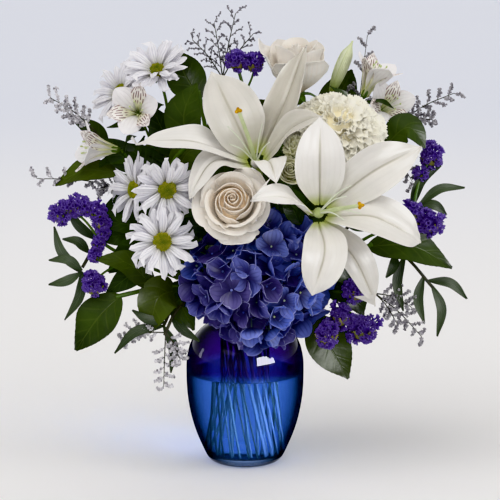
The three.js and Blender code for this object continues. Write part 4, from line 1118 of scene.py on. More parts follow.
class BOUQUET_OT_roses(BouquetOperator, bpy.types.Operator):
    """Wraps the petals of both roses and of the small half-open bloom, and makes their stems"""

    bl_idname = "bouquet.roses"
    bl_label = "Roses"

    # For each rose: how many petals are wound in its heart, how wide its heart and its outer part are, how
    # peach-coloured it is, and its outer petals. Those have their turn in degrees, half the angle they go
    # round in radians, height, flare, roll and point. Widths, heights, flares and rolls are shares of the
    # rose's size.
    BLOOMS = {
        "front": (14, 0.56, 0.59, 1, [
            (200, 1.0, 0.82, 0.08, 0.08, 0.0), (75, 0.95, 0.82, 0.07, 0.08, 0.05),
            (310, 1.0, 0.78, 0.08, 0.09, 0.0), (130, 0.95, 0.70, 0.16, 0.10, 0.05),
            (255, 0.9, 0.66, 0.20, 0.10, 0.1), (10, 0.95, 0.68, 0.18, 0.10, 0.05),
            (175, 1.0, 0.56, 0.32, 0.12, 0.06), (48, 0.7, 0.60, 0.36, 0.10, 0.3),
            (225, 0.8, 0.50, 0.28, 0.10, 0.1), (276, 0.7, 0.48, 0.38, 0.10, 0.3),
            (335, 0.8, 0.52, 0.26, 0.10, 0.08), (108, 0.75, 0.52, 0.16, 0.10, 0.1),
        ]),
        "back": (13, 0.5, 0.86, 0.1, [
            (100, 1.1, 0.98, 0.04, 0.06, 0.0), (20, 1.0, 0.97, 0.06, 0.08, 0.04),
            (235, 1.0, 0.98, 0.02, 0.05, 0.02), (150, 0.9, 0.94, 0.10, 0.08, 0.05),
            (330, 1.05, 0.90, 0.05, 0.08, 0.03), (60, 0.95, 0.86, 0.14, 0.10, 0.06),
            (193, 0.75, 0.96, 0.24, 0.10, 0.2), (292, 1.15, 0.80, 0.08, 0.12, 0.03),
        ]),
    }

    def make(self, settings):
        for side, bloom in self.BLOOMS.items():
            self.make_bloom(side, settings.petal_thickness / MM, *bloom)
            stalk, stem = Shape(), STALKS[f"rose_{side}"]
            add_stalk(stalk, *stem[:4], sides=10)
            add_leaves(stalk, stem[3][:-1], 9, 40, 11)
            add_gap_leaves(stalk, GAP_LEAVES.get(f"rose_{side}", []))
            finish_stalk(stalk, f"rose_{side}_stalk", f"rose_{side}_stem")
        self.make_bud(16)

    def make_bloom(self, side, thick, count, heart, spread_out, blush, outer):
        """The wound heart of a rose, its outer petals, and the green below them."""
        rose, pick = ROSES[side], random.Random(side)
        wide, tall = rose["radius"], rose["height"]
        matrix = pointing(rose["base"], rose["aim"])
        bloom = Shape()
        for i in range(count):
            share = i / (count - 1)
            turn = i * GOLDEN_TURN + pick.uniform(-0.2, 0.2)
            size = (wide * heart * (0.08 + 0.92 * share**1.25),
                    tall * (0.88 + 0.04 * math.sin(5 * share) - 0.04 * share),
                    (2.3 - 1.1 * share) * pick.uniform(0.9, 1.1))
            add_rose_petal(
                bloom, matrix, i, thick, (0.9 - 0.7 * share) * blush, turn, size, flare=0.04 * wide * share,
                roll=0.05 * wide * (0.3 + 0.7 * share), point=0.03, twist=0.16, close=0.56 - 0.34 * share)
        for i, (turn, half_angle, height, flare, roll, point) in enumerate(outer):
            share = i / (len(outer) - 1)
            size = wide * (heart + 0.03 + (spread_out - heart) * share), tall * height, half_angle
            add_rose_petal(
                bloom, matrix, 50 + i, thick, 0.15 * (1 - share), math.radians(turn), size,
                flare=flare * wide, roll=roll * wide, point=point, twist=0.08)
        core = bead((0.46 * wide, 0.46 * wide, 0.2 * tall), 4)
        bloom.pour(core, matrix @ Matrix.Translation((0, 0, 0.45 * tall)), 0.4 * blush)
        add_sepals(bloom, matrix @ Matrix.Translation((0, 0, -2)), 0.62 * wide, -3)
        bloom.pour(bead((5, 5, 6), 2), matrix @ Matrix.Translation((0, 0, -4.5)), finish=1)
        bloom.finish(f"rose_{side}_bloom", ["rose_petal", "stem_green"], "rose_petal", f"rose_{side}_head")

    def make_bud(self, count):
        """The small half-open bloom with its stem."""
        bud, base = Shape(), ROSEBUD["base"]
        matrix = pointing(base, ROSEBUD["aim"])
        add_stalk(bud, "inner", 1, 1.9, [(10, -16, 200), (26, -34, 244), (33, -56, 257), base], finish=1)
        for i in range(count):
            share = i / (count - 1)
            size = 1.2 + 8.6 * share, ROSEBUD["height"] - 3 * share, 2.2 - 1.1 * share
            add_rose_petal(
                bud, matrix, 90 + i, 0.4, 0.9 - 0.5 * share, i * GOLDEN_TURN, size, flare=1.4 * share,
                roll=1.2 * share, point=0.05, twist=0.14, close=0.5 * (1 - share))
        add_sepals(bud, matrix, 9, 4)
        bud.finish("rosebud_bloom", ["greenish_petal", "stem_green"], "carnation_petal", "rosebud")


def add_ruffle(shape, root, way, away, reach, half, pick, tint):
    """One fan-shaped carnation petal from root outwards, bent away from the bloom's axis, with a waved and
    toothed rim."""
    up = way.normalized()
    side = away.cross(up).normalized()
    matrix = Matrix.Translation(root) @ Matrix((side, up.cross(side), up)).transposed().to_4x4()
    matrix = matrix @ Matrix.Rotation(pick.uniform(-0.5, 0.5), 4, "Z")
    waves, phase, depth = pick.uniform(2.2, 3.8), pick.uniform(0, TAU), pick.uniform(0.05, 0.1) * half
    bow = pick.uniform(0.1, 0.45) * smooth(2, 20, away.length)

    def place(u, t):
        tooth = 0.07 * (round((u + 1) * 9) % 2) * smooth(0.8, 1, t)
        wide = half * (0.12 + 0.88 * t**1.1)
        fold = depth * 2 * t * t * math.sin(waves * math.pi * u + phase) + bow * reach * t**2.5
        return Vector((wide * math.sin(u * 1.15) * 0.95, fold, reach * (t * (1 - 0.12 * u * u) - tooth)))

    shape.pour(bent_grid(place, 18, 5, 0.3, 1.2), matrix, tint)


class BOUQUET_OT_carnations(BouquetOperator, bpy.types.Operator):
    """Gathers the ruffled petals of the large and the small carnation, and makes their stems"""

    bl_idname = "bouquet.carnations"
    bl_label = "Carnations"

    def make(self, settings):
        centre, radii = Vector(CARNATION_CENTRE), Vector(CARNATION_RADII)
        pick = random.Random(5)
        head = Shape()
        head.pour(bead(radii * 0.7, 4), Matrix.Translation(centre), 0.3)
        for way in head_places(settings.ruffles, 1.0):
            way = (way + 0.12 * stray(pick)).normalized()
            if way.z < -0.86:  # here the green cup stands
                continue
            swell = 0.92 + 0.16 * noise.noise(way * 2.2) + pick.uniform(-0.05, 0.05)
            rim = stretched(way, radii) * swell
            root = rim * 0.62 - CARNATION_AXIS * 3
            away = rim - CARNATION_AXIS * rim.dot(CARNATION_AXIS)
            half, tint = pick.uniform(10, 13.5), pick.uniform(0, 0.4)
            add_ruffle(head, centre + root, rim - root, away, (rim - root).length, half, pick, tint)
        head.finish("carnation_bloom", ["carnation_petal"], "carnation_petal", "carnation_head")
        stalk, stem = Shape(), STALKS["carnation"]
        add_stalk(stalk, *stem[:4])
        cup = [(0, -9), (3, -8), (5.2, -3), (5.6, 4), (4.6, 9), (0, 9.5)]
        under = centre + Vector((-6, 18, 4 - radii.z))
        stalk.pour(lathe([*rounded(cup, 14)[:-1], cup[-1]], 14), pointing(under, (0.3, -0.5, 0.8)))
        add_leaves(stalk, stem[3], 10, 36, 3.4)
        finish_stalk(stalk, "carnation_stalk", "carnation_stem")
        self.make_small(46, pick)

    def make_small(self, count, pick):
        """The small carnation with its stem."""
        small = Shape()
        centre, radii = Vector(SMALL_CARNATION_CENTRE), Vector(SMALL_CARNATION_RADII)
        way_up = [(-4, -15, 176), (12, -22, 230), (34, -52, 270), centre - Vector((1, 3, 6))]
        add_stalk(small, "middle", 3, 1.9, way_up, finish=1)
        root = centre - Vector((1, -1, 7))
        for way in head_places(count, 0.8):
            aim = (way + Vector((0, -0.5, 0.6))).normalized()
            out = centre + stretched(way, radii) - root
            reach, tint = out.length * pick.uniform(0.85, 1), pick.uniform(0.5, 1.0)
            add_ruffle(small, root, out, way, reach, 5 + aim.z, pick, tint)
        small.finish("small_carnation_bloom", ["greenish_petal", "stem_green"], "carnation_petal",
                     "small_carnation")


def add_lily_petal(shape, rib, face, half, cup, fullest, tip, seed, thick, tint):
    """A long lily petal with a grooved midrib, waved margins and a tip that turns back."""
    pick = random.Random(seed)
    phase, waves, amount = pick.uniform(0, TAU), pick.uniform(1.5, 2.5), pick.uniform(0.8, 1.6)

    def place(u, t):
        wide = half * outline(t, fullest, 0.2, 0.85, tip)
        wave = math.sin(waves * TAU * t + phase + (1.3 if u > 0 else 0)) * smooth(0.1, 0.5, t)
        raised = cup * wide * wide * u * u / half + 0.5 * u * u + amount * abs(u) ** 3 * wave
        raised -= 2.0 * math.exp(-70 * u * u) * (1 - smooth(0.7, 1, t))
        raised += 0.7 * math.exp(-22 * (abs(u) - 0.3) ** 2) - 3.0 * smooth(0.82, 1.0, t) ** 2
        return t * (1 - 0.03 * u * u), wide * u, raised

    shape.pour(blade(rib, face, place, 24, 48, thick, 1.25), tint=tint)


class BOUQUET_OT_lilies(BouquetOperator, bpy.types.Operator):
    """Draws out the petals, the pistils and the filaments of both lilies, and makes the bud and the stem"""

    bl_idname = "bouquet.lilies"
    bl_label = "Lilies"

    def make(self, settings):
        thick = settings.petal_thickness / MM
        for side, lily in LILIES.items():
            for i, (form, shade) in enumerate(zip(lily["petals"], lily["shade"]), 1):
                petal = Shape()
                add_lily_petal(petal, *form, 7 * i + len(side), thick, shade)
                petal.finish(f"lily_{side}_tepal_{i}", ["lily_petal"], "lily_petal", f"lily_{side}_petal_{i}")
            self.make_centre(side, lily)
        ring, index, radius, beyond, branches = STALKS["lily"]
        stalk = Shape()
        add_stalk(stalk, ring, index, radius, beyond, sides=10)
        for thick, points in branches:
            add_branch(stalk, points, thick, sides=8, tip=0.9)
            add_leaves(stalk, points[:-1], 3, 38, 6.5)
        add_leaves(stalk, beyond, 6, 46, 7)
        add_gap_leaves(stalk, GAP_LEAVES["lily"])
        finish_stalk(stalk, "lily_stalk", "lily_stem")
        self.make_bud(46.5)

    def make_bud(self, length):
        """Six petals closed round each other."""
        bud = Shape()
        matrix = pointing(Vector(LILY_BUD_BASE) + Vector(LILY_BUD_AIM).normalized(), LILY_BUD_AIM)
        for i in range(6):
            turn, outer = TAU * i / 6, i % 2

            def place(u, t):
                belly = 2.2 + 3.2 * math.sin(math.pi * min(t, 0.93) ** 1.05) ** 0.7
                r = belly * (1 - smooth(0.72, 1, t) * 0.8)
                r *= 1.0 + 0.07 * math.cos(u * math.pi / 2) + 0.06 * outer
                return around(r, turn + u * (0.62 if outer else 0.5), length * t)

            bud.pour(bent_grid(place, 6, 16, 0.5, 1.1), matrix, tint=0.4 * outer)
        bud.finish("lily_bud_petals", ["bud_green"], "lily_centre", "lily_bud")

    def make_centre(self, side, lily):
        """The pistil and the filaments of one lily."""
        centre = Shape()
        throat, base = Vector(lily["throat"]), Vector(lily["base"])
        centre.pour(bead((4.6, 4.6, 5.4), 2), pointing(throat, throat - base), tint=0.2)
        add_branch(centre, [base, base.lerp(throat, 0.5), throat], 2.4)
        add_branch(centre, lily["style"], 1.9, sides=10, tip=0.8, tint=0.4)
        tip = Vector(lily["style"][2])
        aim = tip - Vector(lily["style"][1])
        for i in range(3):
            lobe = pointing(tip, aim, TAU * i / 3) @ Matrix.Translation((1.4, 0, 0.2))
            centre.pour(bead((2.1, 1.5, 1.8), 2), lobe, finish=1)
        for end in lily["filaments"]:
            end = Vector(end)
            middle = throat.lerp(end, 0.55) + Vector((0, 0, 3))
            add_branch(centre, [throat, middle, end], 0.8, sides=6, tip=0.5, tint=1.0)
        centre.finish(f"lily_{side}_pistil", ["lily_green", "stigma"], "lily_centre", f"lily_{side}_centre")


def daisy_ray(seed, half):
    """One daisy ray along +X, with two grooves and a faintly notched tip."""
    pick = random.Random(seed)
    lift, droop, twist = pick.uniform(0.8, 2.8), pick.uniform(-3.0, 1.5), pick.uniform(-0.5, 0.5)
    tip = DAISY_RADIUS * pick.uniform(0.98, 1.12), pick.uniform(-1.6, 1.6), droop

    def place(u, t):
        notch = 0.014 * smooth(0.8, 1, t) * (1 - math.cos(2.5 * TAU * u)) / 2
        wide = half * outline(t, 0.62, 0.36, 0.9, 0.55, 0.17)
        raised = 0.28 * math.cos(u * TAU) - 0.7 * u * u + 2 * twist * u * t
        return t * (1 - 0.06 * u * u) - notch, wide * u, raised

    shape = Shape()
    shape.pour(blade([(5, 0, 0), (16, 0, lift), tip], (0, 0, 1), place, 8, 11, 0.35, 1.15))
    return shape.as_mesh("ray")


class BOUQUET_OT_daisies(BouquetOperator, bpy.types.Operator):
    """Sets the rays of the five daisies round their discs, and makes their branching stem"""

    bl_idname = "bouquet.daisies"
    bl_label = "Daisies"

    def make(self, settings):
        half = settings.ray_width / MM / 2
        rays = [daisy_ray(seed, half) for seed in range(8)]
        floret = Shape()
        floret.pour(bead((0.62, 0.62, 0.95), 1), finish=1)
        floret = floret.as_mesh("disc floret")
        for number, (centre, aim, stand, _) in enumerate(DAISIES, 1):
            pick = random.Random(number)
            head, matrix = Shape(), pointing(centre, aim, number)
            for layer, count in enumerate((settings.rays, settings.rays // 2)):
                for i in range(count):
                    turn = TAU * (i + 0.5 * layer + pick.uniform(-0.25, 0.25)) / count
                    tilt = -math.radians(stand + 6 + 10 * layer + pick.uniform(-6, 6))
                    sway = Matrix.Rotation(turn, 4, "Z") @ Matrix.Rotation(tilt, 4, "Y")
                    above = Matrix.Translation((0, 0, 1.4 * layer))
                    # Each ray takes a lilac-grey tint at random, the lower layer more: painted shade.
                    head.stamp(pick.choice(rays), matrix @ above @ sway @ Matrix.Scale(1 - 0.07 * layer, 4),
                               pick.uniform(0, 0.7) * (1 - 0.5 * layer))
            self.add_disc(head, matrix, floret, 150)
            head.finish(f"daisy_bloom_{number}", ["daisy_petal", "daisy_disc", "stem_green"], "daisy_petal",
                        f"daisy_head_{number}")
        stalk = Shape()
        add_stalk(stalk, "middle", 2, 1.9, [DAISY_LOW, DAISY_FORK])
        for centre, aim, _, way in DAISIES:
            back = Vector(centre) - 4 * Vector(aim).normalized()
            add_branch(stalk, [DAISY_FORK, *way, back], 1.3, sides=8, tip=1.0)
            add_leaves(stalk, [DAISY_FORK, *way], 3, 26, 7)
        add_leaves(stalk, [DAISY_LOW, DAISY_FORK], 6, 32, 8)
        add_gap_leaves(stalk, GAP_LEAVES["daisy"])
        finish_stalk(stalk, "daisy_stalk", "daisy_stem")

    def add_disc(self, head, matrix, floret, count):
        """The domed yellow disc of a daisy, and the green cup with its bracts behind it."""
        for i in range(count):
            share = math.sqrt((i + 0.5) / count)
            dome = 3.8 + 3.0 * math.cos(share * math.pi / 2) - 0.9 * math.exp(-14 * share * share)
            spot = Matrix.Translation(around(DAISY_DISC * share, i * GOLDEN_TURN, dome))
            head.stamp(floret, matrix @ spot, (1 - share) ** 1.5)
        core = [(0, -0.6), (6, 0), (7.8, 3.4), (4, 5.4), (0, 5.9)]
        head.pour(lathe(core, 20), matrix, finish=1)
        cup = [(0, -4.6), (2.6, -4.4), (5.6, -2.2), (8.4, 0.2), (7.6, 0.8), (0, 0.2)]
        head.pour(lathe(cup, 20), matrix, finish=2)
        rib, bracts = [(4.5, 0, -2.6), (8, 0, -0.4), (11.5, 0, 0.2)], 18
        for i in range(bracts):
            bract = blade(rib, (0, 0, 1), strap(1.5, (0.3, 0.6, 0.8, 1.0), 0.3), 4, 5, 0.3)
            head.pour(bract, matrix @ Matrix.Rotation(TAU * i / bracts, 4, "Z"), finish=2)


class BOUQUET_OT_alstroemerias(BouquetOperator, bpy.types.Operator):
    """Opens the four alstroemerias with their dashed inner petals, and makes their stems"""

    bl_idname = "bouquet.alstroemerias"
    bl_label = "Alstroemerias"

    SCALE = 1.12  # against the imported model

    def make(self, settings):
        for number, (base, aim, turn) in enumerate(ALSTROEMERIAS, 1):
            pick = random.Random(40 + number)
            bloom, matrix = Shape(), pointing(base, aim, turn, self.SCALE)
            for i in range(6):
                outer = i % 2 == 0
                out, up = pick.uniform(17.5, 20.5), pick.uniform(29, 33)
                half, fullest, tip = (9, 0.7, 0.7) if outer else (6.8, 0.64, 0.9)
                rib = [(1.6, 0, 3), (3.6, 0, 14), (0.5 * out, 0, 24), (out, 0, up)]
                phase = pick.uniform(0, TAU)

                def place(u, t):
                    ripple = 0.5 * u * u * math.sin(9 * t + phase)
                    raised = 0.4 * math.exp(-40 * u * u) - 1.4 * u * u * (1.0 - 0.8 * t) + ripple
                    return t, half * outline(t, fullest, 0.16, 1.4, tip) * u, raised

                part = blade(rib, (-0.6, 0, 1), place, 10, 18, 0.35, 1.3)
                bloom.pour(part, matrix @ Matrix.Rotation(TAU * i / 6, 4, "Z"), pick.uniform(0, 0.6), i % 2)
            for i in range(6):
                turn = TAU * (i + 0.5) / 6
                end = around(5, turn, 27 + 2 * (i % 2)) + Vector((2, 0, 0))
                line = [around(0.8, turn, 4), end * 0.55 + Vector((0, 0, 3)), end]
                add_branch(bloom, [matrix @ spot for spot in line], 0.5, finish=2, sides=5, tip=0.6, tint=0.6)
                bloom.pour(bead((0.8, 0.8, 1.3), 1), matrix @ Matrix.Translation(end), 0.2, 2)
            ovary = [(0, 0), (1.6, 0.4), (3.0, 3), (3.1, 6), (2.0, 8.5), (0, 9)]
            bloom.pour(lathe(ovary, 14), matrix, 0.0, 3)
            bloom.finish(f"alstroemeria_bloom_{number}",
                         ["alstroemeria_petal", "alstroemeria_dashed", "lily_green", "stem_green"],
                         "alstroemeria_petal", f"alstroemeria_flower_{number}")
        for side in ("left", "right"):
            ring, index, radius, beyond, branches = STALKS[f"alstroemeria_{side}"]
            stalk = Shape()
            add_stalk(stalk, ring, index, radius, beyond)
            for thick, points in branches:
                add_branch(stalk, points, thick, sides=8)
                add_leaves(stalk, points[1:], 3, 30, 4.5)
            add_leaves(stalk, beyond, 7, 40, 5)
            finish_stalk(stalk, f"alstroemeria_stalk_{side}", f"alstroemeria_stem_{side}")


def statice_cup(seed):
    """One papery funnel along +Z with a ruffled rim. Some hold a tiny flower."""
    pick = random.Random(seed)
    shape = Shape()
    phase, folds = pick.uniform(0, TAU), pick.choice((4, 5))

    def place(u, t):
        turn = math.pi * u
        r = (0.4 + 1.7 * t**1.4) * (1 + 0.22 * t * math.cos(folds * turn + phase))
        return around(r, turn, 4.6 * t + 0.6 * t * math.sin(folds * turn))

    # The rim of each cup is painted paler: a painted highlight.
    shape.pour(bent_grid(place, 12, 2, 0.25, 1.0), tint=lambda spot: 0.7 * smooth(3, 5, spot.z))
    if seed == 0:
        shape.pour(bead((0.7, 0.7, 0.5), 1), Matrix.Translation((0, 0, 4.2)), 0.3, 1)
    return shape.as_mesh("cup")


class BOUQUET_OT_statice(BouquetOperator, bpy.types.Operator):
    """Crowds papery cups into the tufts of the four purple statice stems"""

    bl_idname = "bouquet.statice"
    bl_label = "Statice"

    def make(self, settings):
        cups = [statice_cup(seed) for seed in range(6)]
        for side, (ring, index, beyond, branches, tufts) in STATICE.items():
            pick = random.Random(side)
            plant = Shape()
            for x, y, z, radius in tufts:
                self.add_tuft(plant, Vector((x, y, z)), radius, cups, pick)
            add_stalk(plant, ring, index, 1.4, beyond, finish=2)
            for points in branches:
                add_branch(plant, points, 1.1, finish=2)
            plant.finish(
                f"statice_plant_{side}", ["statice_petal", "statice_flower", "stem_green", "calyx"],
                "statice", f"statice_{side}")

    def add_tuft(self, plant, middle, radius, cups, pick):
        """A ball of cups on a round core, with green bracts under it."""
        plant.pour(bead((0.55 * radius,) * 3, 2), Matrix.Translation(middle))
        stretch = Vector(pick.uniform(0.85, 1.35) for _ in range(3))
        for way in head_places(int(1.25 * radius * radius), 1.0):
            way = (way + 0.35 * stray(pick)).normalized()
            scale = pick.uniform(0.85, 1.15)
            rough = 0.92 + 0.65 * noise.noise(way * 1.6 + middle)
            spot = stretched(way, stretch) * max(radius * rough - 3.6 * scale, 0.5)
            cup, turn = pick.choice(cups), pick.uniform(0, TAU)
            plant.stamp(cup, pointing(middle + spot, way, turn, scale))
        low, bracts = middle - Vector((0, 0, 0.95 * radius)), 9
        for i in range(bracts):
            bract = blade([(0, 0, 0), (2.6, 0, 1), (4.8, 0, 4.5)], (-0.6, 0, 1),
                          strap(1.3, (0.4, 0.5, 0.8, 1.0), 0.4), 4, 5, 0.3)
            upright = pointing(low, (0, 0, 1), TAU * i / bracts, 0.2 * radius)
            plant.pour(bract, upright, pick.random(), 3)


def limonium_cup():
    """One tiny cup along +Z."""
    shape = Shape()
    shape.pour(lathe([(0, 0), (0.5, 0.2), (0.75, 1.5), (1.25, 2.6), (0.7, 2.3), (0, 1.6)], 6))
    return shape.as_mesh("tiny cup")


class BOUQUET_OT_limonium(BouquetOperator, bpy.types.Operator):
    """Branches the five misty sprays and sets their tiny cups"""

    bl_idname = "bouquet.limonium"
    bl_label = "Limonium"

    TWIG = 0.6
    SIDE_TWIG = 0.3

    def make(self, settings):
        cup = limonium_cup()
        for side, (ring, index, beyond, sprays) in LIMONIUM.items():
            pick = random.Random(side)
            plant = Shape()
            for line, thick in self.twigs(sprays, pick):
                steps = len(line)
                plant.pour(tube(line, [thick * (1 - 0.5 * i / steps) for i in range(steps)], 4), finish=1)
                if thick == self.TWIG:
                    continue
                for i in range(1, steps):
                    for _ in range(1 if side == "top" else 4):
                        way = ((line[i] - line[i - 1]).normalized() + stray(pick, 0.9)).normalized()
                        stand = pointing(line[i], way, 0, pick.uniform(0.6, 1.0))
                        plant.stamp(cup, stand, LIMONIUM_PAINTED_LIGHT[side] * pick.random() ** 0.6)
            add_stalk(plant, ring, index, 1.4, beyond, finish=1)
            plant.finish(f"limonium_plant_{side}", ["limonium_cup", "twig"], "twig", f"limonium_{side}")

    def twigs(self, sprays, pick):
        """A plant's twigs and the side twigs that stand on them by turns, as lines with their thickness."""
        lines, steps = [], 12
        for start, ends in sprays:
            for end in ends:
                start, end = Vector(start), Vector(end)
                line = spline([start, start.lerp(end, 0.5) + Vector((0, 0, 3)), end], steps)
                lines.append((line, self.TWIG))
                for i in range(2, steps):
                    way = (line[i] - line[i - 1]).normalized()
                    ahead = Vector((pick.uniform(-0.5, 0.5), -1, pick.uniform(-0.5, 0.5)))
                    out = way.cross(ahead).normalized() * (1 if i % 2 else -1)
                    reach = pick.uniform(7, 14) * (1.15 - 0.5 * i / steps)
                    tip = line[i] + (out + way * 0.9) * reach * 0.75 + Vector((0, pick.uniform(-4, 4), 1.5))
                    lines.append((spline([line[i], line[i].lerp(tip, 0.5) + way, tip], 7), self.SIDE_TWIG))
        return lines


def salal_leaf(rib, face, half, seed):
    """A broad leaf, folded a little along its midrib, with a pointed tip and faintly toothed margins."""
    pick = random.Random(seed)
    phase, wave = pick.uniform(0, TAU), pick.uniform(0.5, 1.3)

    def place(u, t):
        wide = half * outline(t, 0.42, 0.06, 0.72, 1.05)
        tooth = 0.004 * abs(u) ** 8 * math.sin(90 * t)
        quilt = 0.35 * math.sin(7 * TAU * (t - 0.22 * abs(u) ** 0.7))
        raised = 0.16 * wide * abs(u) ** 1.4 + wave * u * u * math.sin(2.2 * TAU * t + phase + u)
        raised += quilt * smooth(0.05, 0.4, abs(u)) * (1 - abs(u))
        return t + tooth, wide * u * (1 + tooth), raised - 1.2 * smooth(0.8, 1, t)

    return blade(rib, face, place, 16, 36, 0.5, 1.2)


class BOUQUET_OT_salal(BouquetOperator, bpy.types.Operator):
    """Bends the broad glossy leaves and their woody stems"""

    bl_idname = "bouquet.salal"
    bl_label = "Broad leaves"

    def make(self, settings):
        for side, (ring, index, beyond, branches, leaves) in SALAL.items():
            plant = Shape()
            add_stalk(plant, ring, index, 1.9, beyond, finish=1)
            for points in branches:
                add_branch(plant, points, 1.2, finish=1)
            for i, (rib, face, half) in enumerate(leaves):
                plant.pour(salal_leaf(rib, face, half, i + 13 * len(side)), tint=0.12 * (i % 3))
            plant.finish(f"salal_branch_{side}", ["salal_leaf", "stem_green"], "leaf", f"salal_{side}")


class BOUQUET_OT_eucalyptus(BouquetOperator, bpy.types.Operator):
    """Bends the narrow grey leaves and their stems"""

    bl_idname = "bouquet.eucalyptus"
    bl_label = "Narrow leaves"

    def make(self, settings):
        for side, (ring, index, beyond, leaves) in EUCALYPTUS.items():
            pick = random.Random(side)
            plant = Shape()
            add_stalk(plant, ring, index, 1.4, beyond, finish=1)
            for start, end in leaves:
                start, end = Vector(start), Vector(end)
                sway = (end - start).cross(Vector((0, 1, 0))) * pick.choice((-0.13, 0.13))
                bend = start.lerp(end, 0.5) + Vector((0, -3, 2)) + sway
                curl, phase = pick.uniform(-1.5, 1.5), pick.uniform(0, TAU)

                def place(u, t):
                    raised = 0.9 * abs(u) ** 1.5 + curl * t * t + 0.4 * u * math.sin(5 * t + phase)
                    return t, 4.2 * outline(t, 0.42, 0.12, 1.0, 1.05) * u, raised

                face = pick.uniform(-0.3, 0.3), -0.9, 0.4
                leaf = blade([start, bend, end], face, place, 8, 22, 0.45)
                plant.pour(leaf, tint=pick.uniform(0, 0.5))
            plant.finish(f"eucalyptus_branch_{side}", ["eucalyptus_leaf", "twig"], "grey_leaf",
                         f"eucalyptus_{side}")


# --- Stage ------------------------------------------------------------------------------------------


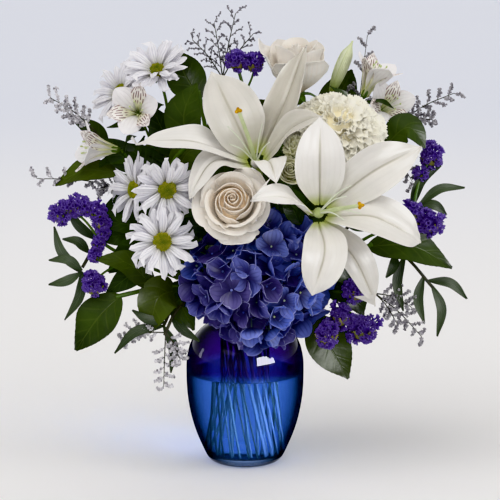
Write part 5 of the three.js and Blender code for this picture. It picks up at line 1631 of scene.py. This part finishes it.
class BOUQUET_OT_stage(BouquetOperator, bpy.types.Operator):
    """Sets the floor, the soft lights and the camera"""

    bl_idname = "bouquet.stage"
    bl_label = "Stage"

    # Name, where it shines from, strength, and the angle over which its light is spread.
    SUNS = [
        ("key", (-0.6, -0.75, 1.25), 1.2, 50),
        ("fill", (0.8, -0.9, 1.2), 0.95, 60),
        ("back", (0.3, 0.9, 1.0), 0.5, 60),
    ]
    # The dark bowl round the vase, as a line of radius and height from its middle outwards.
    BOWL = [(34, 0.4), (120, 0.4), (190, 30), (200, 108)]
    # Lamps that show in reflections only: name, place, what it looks at, width, height, power in watts.
    LAMPS = [
        ("window", (1.25, -1.35, 0.58), (0, 0, 0.1), 1.3, 0.5, 115),
        ("strip_left", (-1.5, 0.3, 0.3), (0, 0, 0.06), 0.2, 0.7, 2),
        ("strip_right", (1.2, -0.9, 0.25), (0, 0, 0.06), 0.22, 0.5, 1.5),
    ]

    SUN_COLOUR = (1.0, 0.98, 0.955)
    SKY_COLOUR = (0.975, 0.98, 1.0, 1)
    FLOOR_RADIUS = 30
    CAMERA_PLACE = (0.0043, -1.7727, 0.4986)
    CAMERA_TILT = math.radians(80)
    SENSOR, LENS = 36, 150.7

    def make(self, settings):
        self.place_floor(settings)
        self.place_bowl()
        for name, place, goal, width, height, power in self.LAMPS:
            lamp = bpy.data.lights.new(name, "AREA")
            lamp.shape, lamp.size, lamp.size_y = "RECTANGLE", width, height
            lamp.energy = power
            self.hang(lamp, place, goal)
        for name, place, strength, spread in self.SUNS:
            lamp = bpy.data.lights.new(name, "SUN")
            lamp.energy, lamp.angle = strength, math.radians(spread)
            lamp.color = self.SUN_COLOUR
            self.hang(lamp, place, (0, 0, 0))
        self.place_sky()
        self.place_camera()

    def place_floor(self, settings):
        """A round floor, painted lighter near the vase as painted light against the bouquet's shadow, a
        little bluer further off, and white far away.
        """
        ground = bmesh.new()
        bmesh.ops.create_circle(ground, cap_ends=True, radius=self.FLOOR_RADIUS, segments=96)
        mesh = bpy.data.meshes.new("floor")
        ground.to_mesh(mesh)
        ground.free()
        paint = self.paint("plain_floor", settings.floor)
        graph = Graph(paint.node_tree)
        reach = graph.node("VectorMath", operation="LENGTH")
        graph.feed(reach.inputs[0], graph.node("TexCoord").outputs["Object"])
        # Lighter near the middle than further off: painted light round the vase.
        far = graph.ramp(reach.outputs["Value"], 0.3, 3.0)
        tone = graph.mix(far, tuple(settings.floor), tuple(settings.far_floor))
        tone = graph.mix(graph.ramp(reach.outputs["Value"], 8.0, 26.0), tone, WHITE)
        graph.feed(paint.node_tree.nodes["Principled BSDF"].inputs["Base Color"], tone)
        mesh.materials.append(paint)
        floor = bpy.data.objects.new("floor", mesh)
        bpy.context.scene.collection.objects.link(floor)

    def place_sky(self):
        """A pale room, bright low down and dimmer above."""
        sky = bpy.data.worlds.new("pale_room")
        sky.use_nodes = True
        graph = Graph(sky.node_tree)
        way = graph.node("SeparateXYZ")
        graph.feed(way.inputs[0], graph.node("TexCoord").outputs["Generated"])
        light = graph.ramp(way.outputs[2], 0.0, 0.4, 0.9, 0.27)
        graph.feed(sky.node_tree.nodes["Background"].inputs["Strength"], light)
        sky.node_tree.nodes["Background"].inputs["Color"].default_value = self.SKY_COLOUR
        bpy.context.scene.world = sky

    def place_camera(self):
        scene = bpy.context.scene
        lens = bpy.data.cameras.new("camera")
        lens.sensor_width, lens.lens = self.SENSOR, self.LENS
        lens.clip_start, lens.clip_end = 0.05, 100
        camera = bpy.data.objects.new("camera", lens)
        camera.location = self.CAMERA_PLACE
        camera.rotation_euler = (self.CAMERA_TILT, 0, 0)
        scene.collection.objects.link(camera)
        scene.camera = camera
        scene.view_settings.view_transform = "Khronos PBR Neutral"

    def paint(self, name, colour):
        """A dull paint of one colour."""
        made = bpy.data.materials.new(name)
        made.use_nodes = True
        shader = made.node_tree.nodes["Principled BSDF"]
        shader.inputs["Base Color"].default_value = tuple(colour)
        shader.inputs["Roughness"].default_value = 1.0
        shader.inputs["Specular IOR Level"].default_value = 0.0
        return made

    def place_bowl(self):
        """A dark bowl that only shows in reflections, and draws the edge of the glass."""
        bowl = lathe(self.BOWL, 64)
        bmesh.ops.scale(bowl, vec=(MM, MM, MM), verts=bowl.verts)
        mesh = bpy.data.meshes.new("dark_bowl")
        bowl.to_mesh(mesh)
        bowl.free()
        mesh.materials.append(self.paint("dark_paint", (0.0, 0.0, 0.0, 1)))
        bowl = bpy.data.objects.new("dark_bowl", mesh)
        bowl.visible_camera = bowl.visible_diffuse = bowl.visible_shadow = bowl.visible_transmission = False
        bpy.context.scene.collection.objects.link(bowl)

    def hang(self, lamp, place, goal):
        """Hangs a lamp at place, turned to goal. Only the suns light the pieces and the floor."""
        holder = bpy.data.objects.new(lamp.name, lamp)
        holder.location = place
        holder.rotation_euler = (Vector(goal) - Vector(place)).to_track_quat("-Z", "Y").to_euler()
        holder.visible_diffuse = holder.visible_camera = lamp.type == "SUN"
        holder.visible_transmission = False
        bpy.context.scene.collection.objects.link(holder)


OPERATORS = (
    BOUQUET_OT_vase, BOUQUET_OT_hydrangea, BOUQUET_OT_roses, BOUQUET_OT_carnations, BOUQUET_OT_lilies,
    BOUQUET_OT_daisies, BOUQUET_OT_alstroemerias, BOUQUET_OT_statice, BOUQUET_OT_limonium,
    BOUQUET_OT_salal, BOUQUET_OT_eucalyptus, BOUQUET_OT_stage,
)


class BOUQUET_PT_panel(bpy.types.Panel):
    """Lists the pieces of the bouquet in the sidebar"""

    bl_idname = "BOUQUET_PT_panel"
    bl_label = "Bouquet"
    bl_space_type = "VIEW_3D"
    bl_region_type = "UI"
    bl_category = "Bouquet"

    def draw(self, context):
        for operator in OPERATORS:
            self.layout.operator(operator.bl_idname)
        for name in BouquetSettings.__annotations__:
            self.layout.prop(context.scene.bouquet, name)


CLASSES = (BouquetSettings, *OPERATORS, BOUQUET_PT_panel)


def register():
    for cls in CLASSES:
        bpy.utils.register_class(cls)
    bpy.types.Scene.bouquet = PointerProperty(type=BouquetSettings)


def unregister():
    del bpy.types.Scene.bouquet
    for cls in reversed(CLASSES):
        bpy.utils.unregister_class(cls)


def main():
    register()
    for operator in OPERATORS:
        group, name = operator.bl_idname.split(".")
        getattr(getattr(bpy.ops, group), name)()


if __name__ == "__main__":
    main()
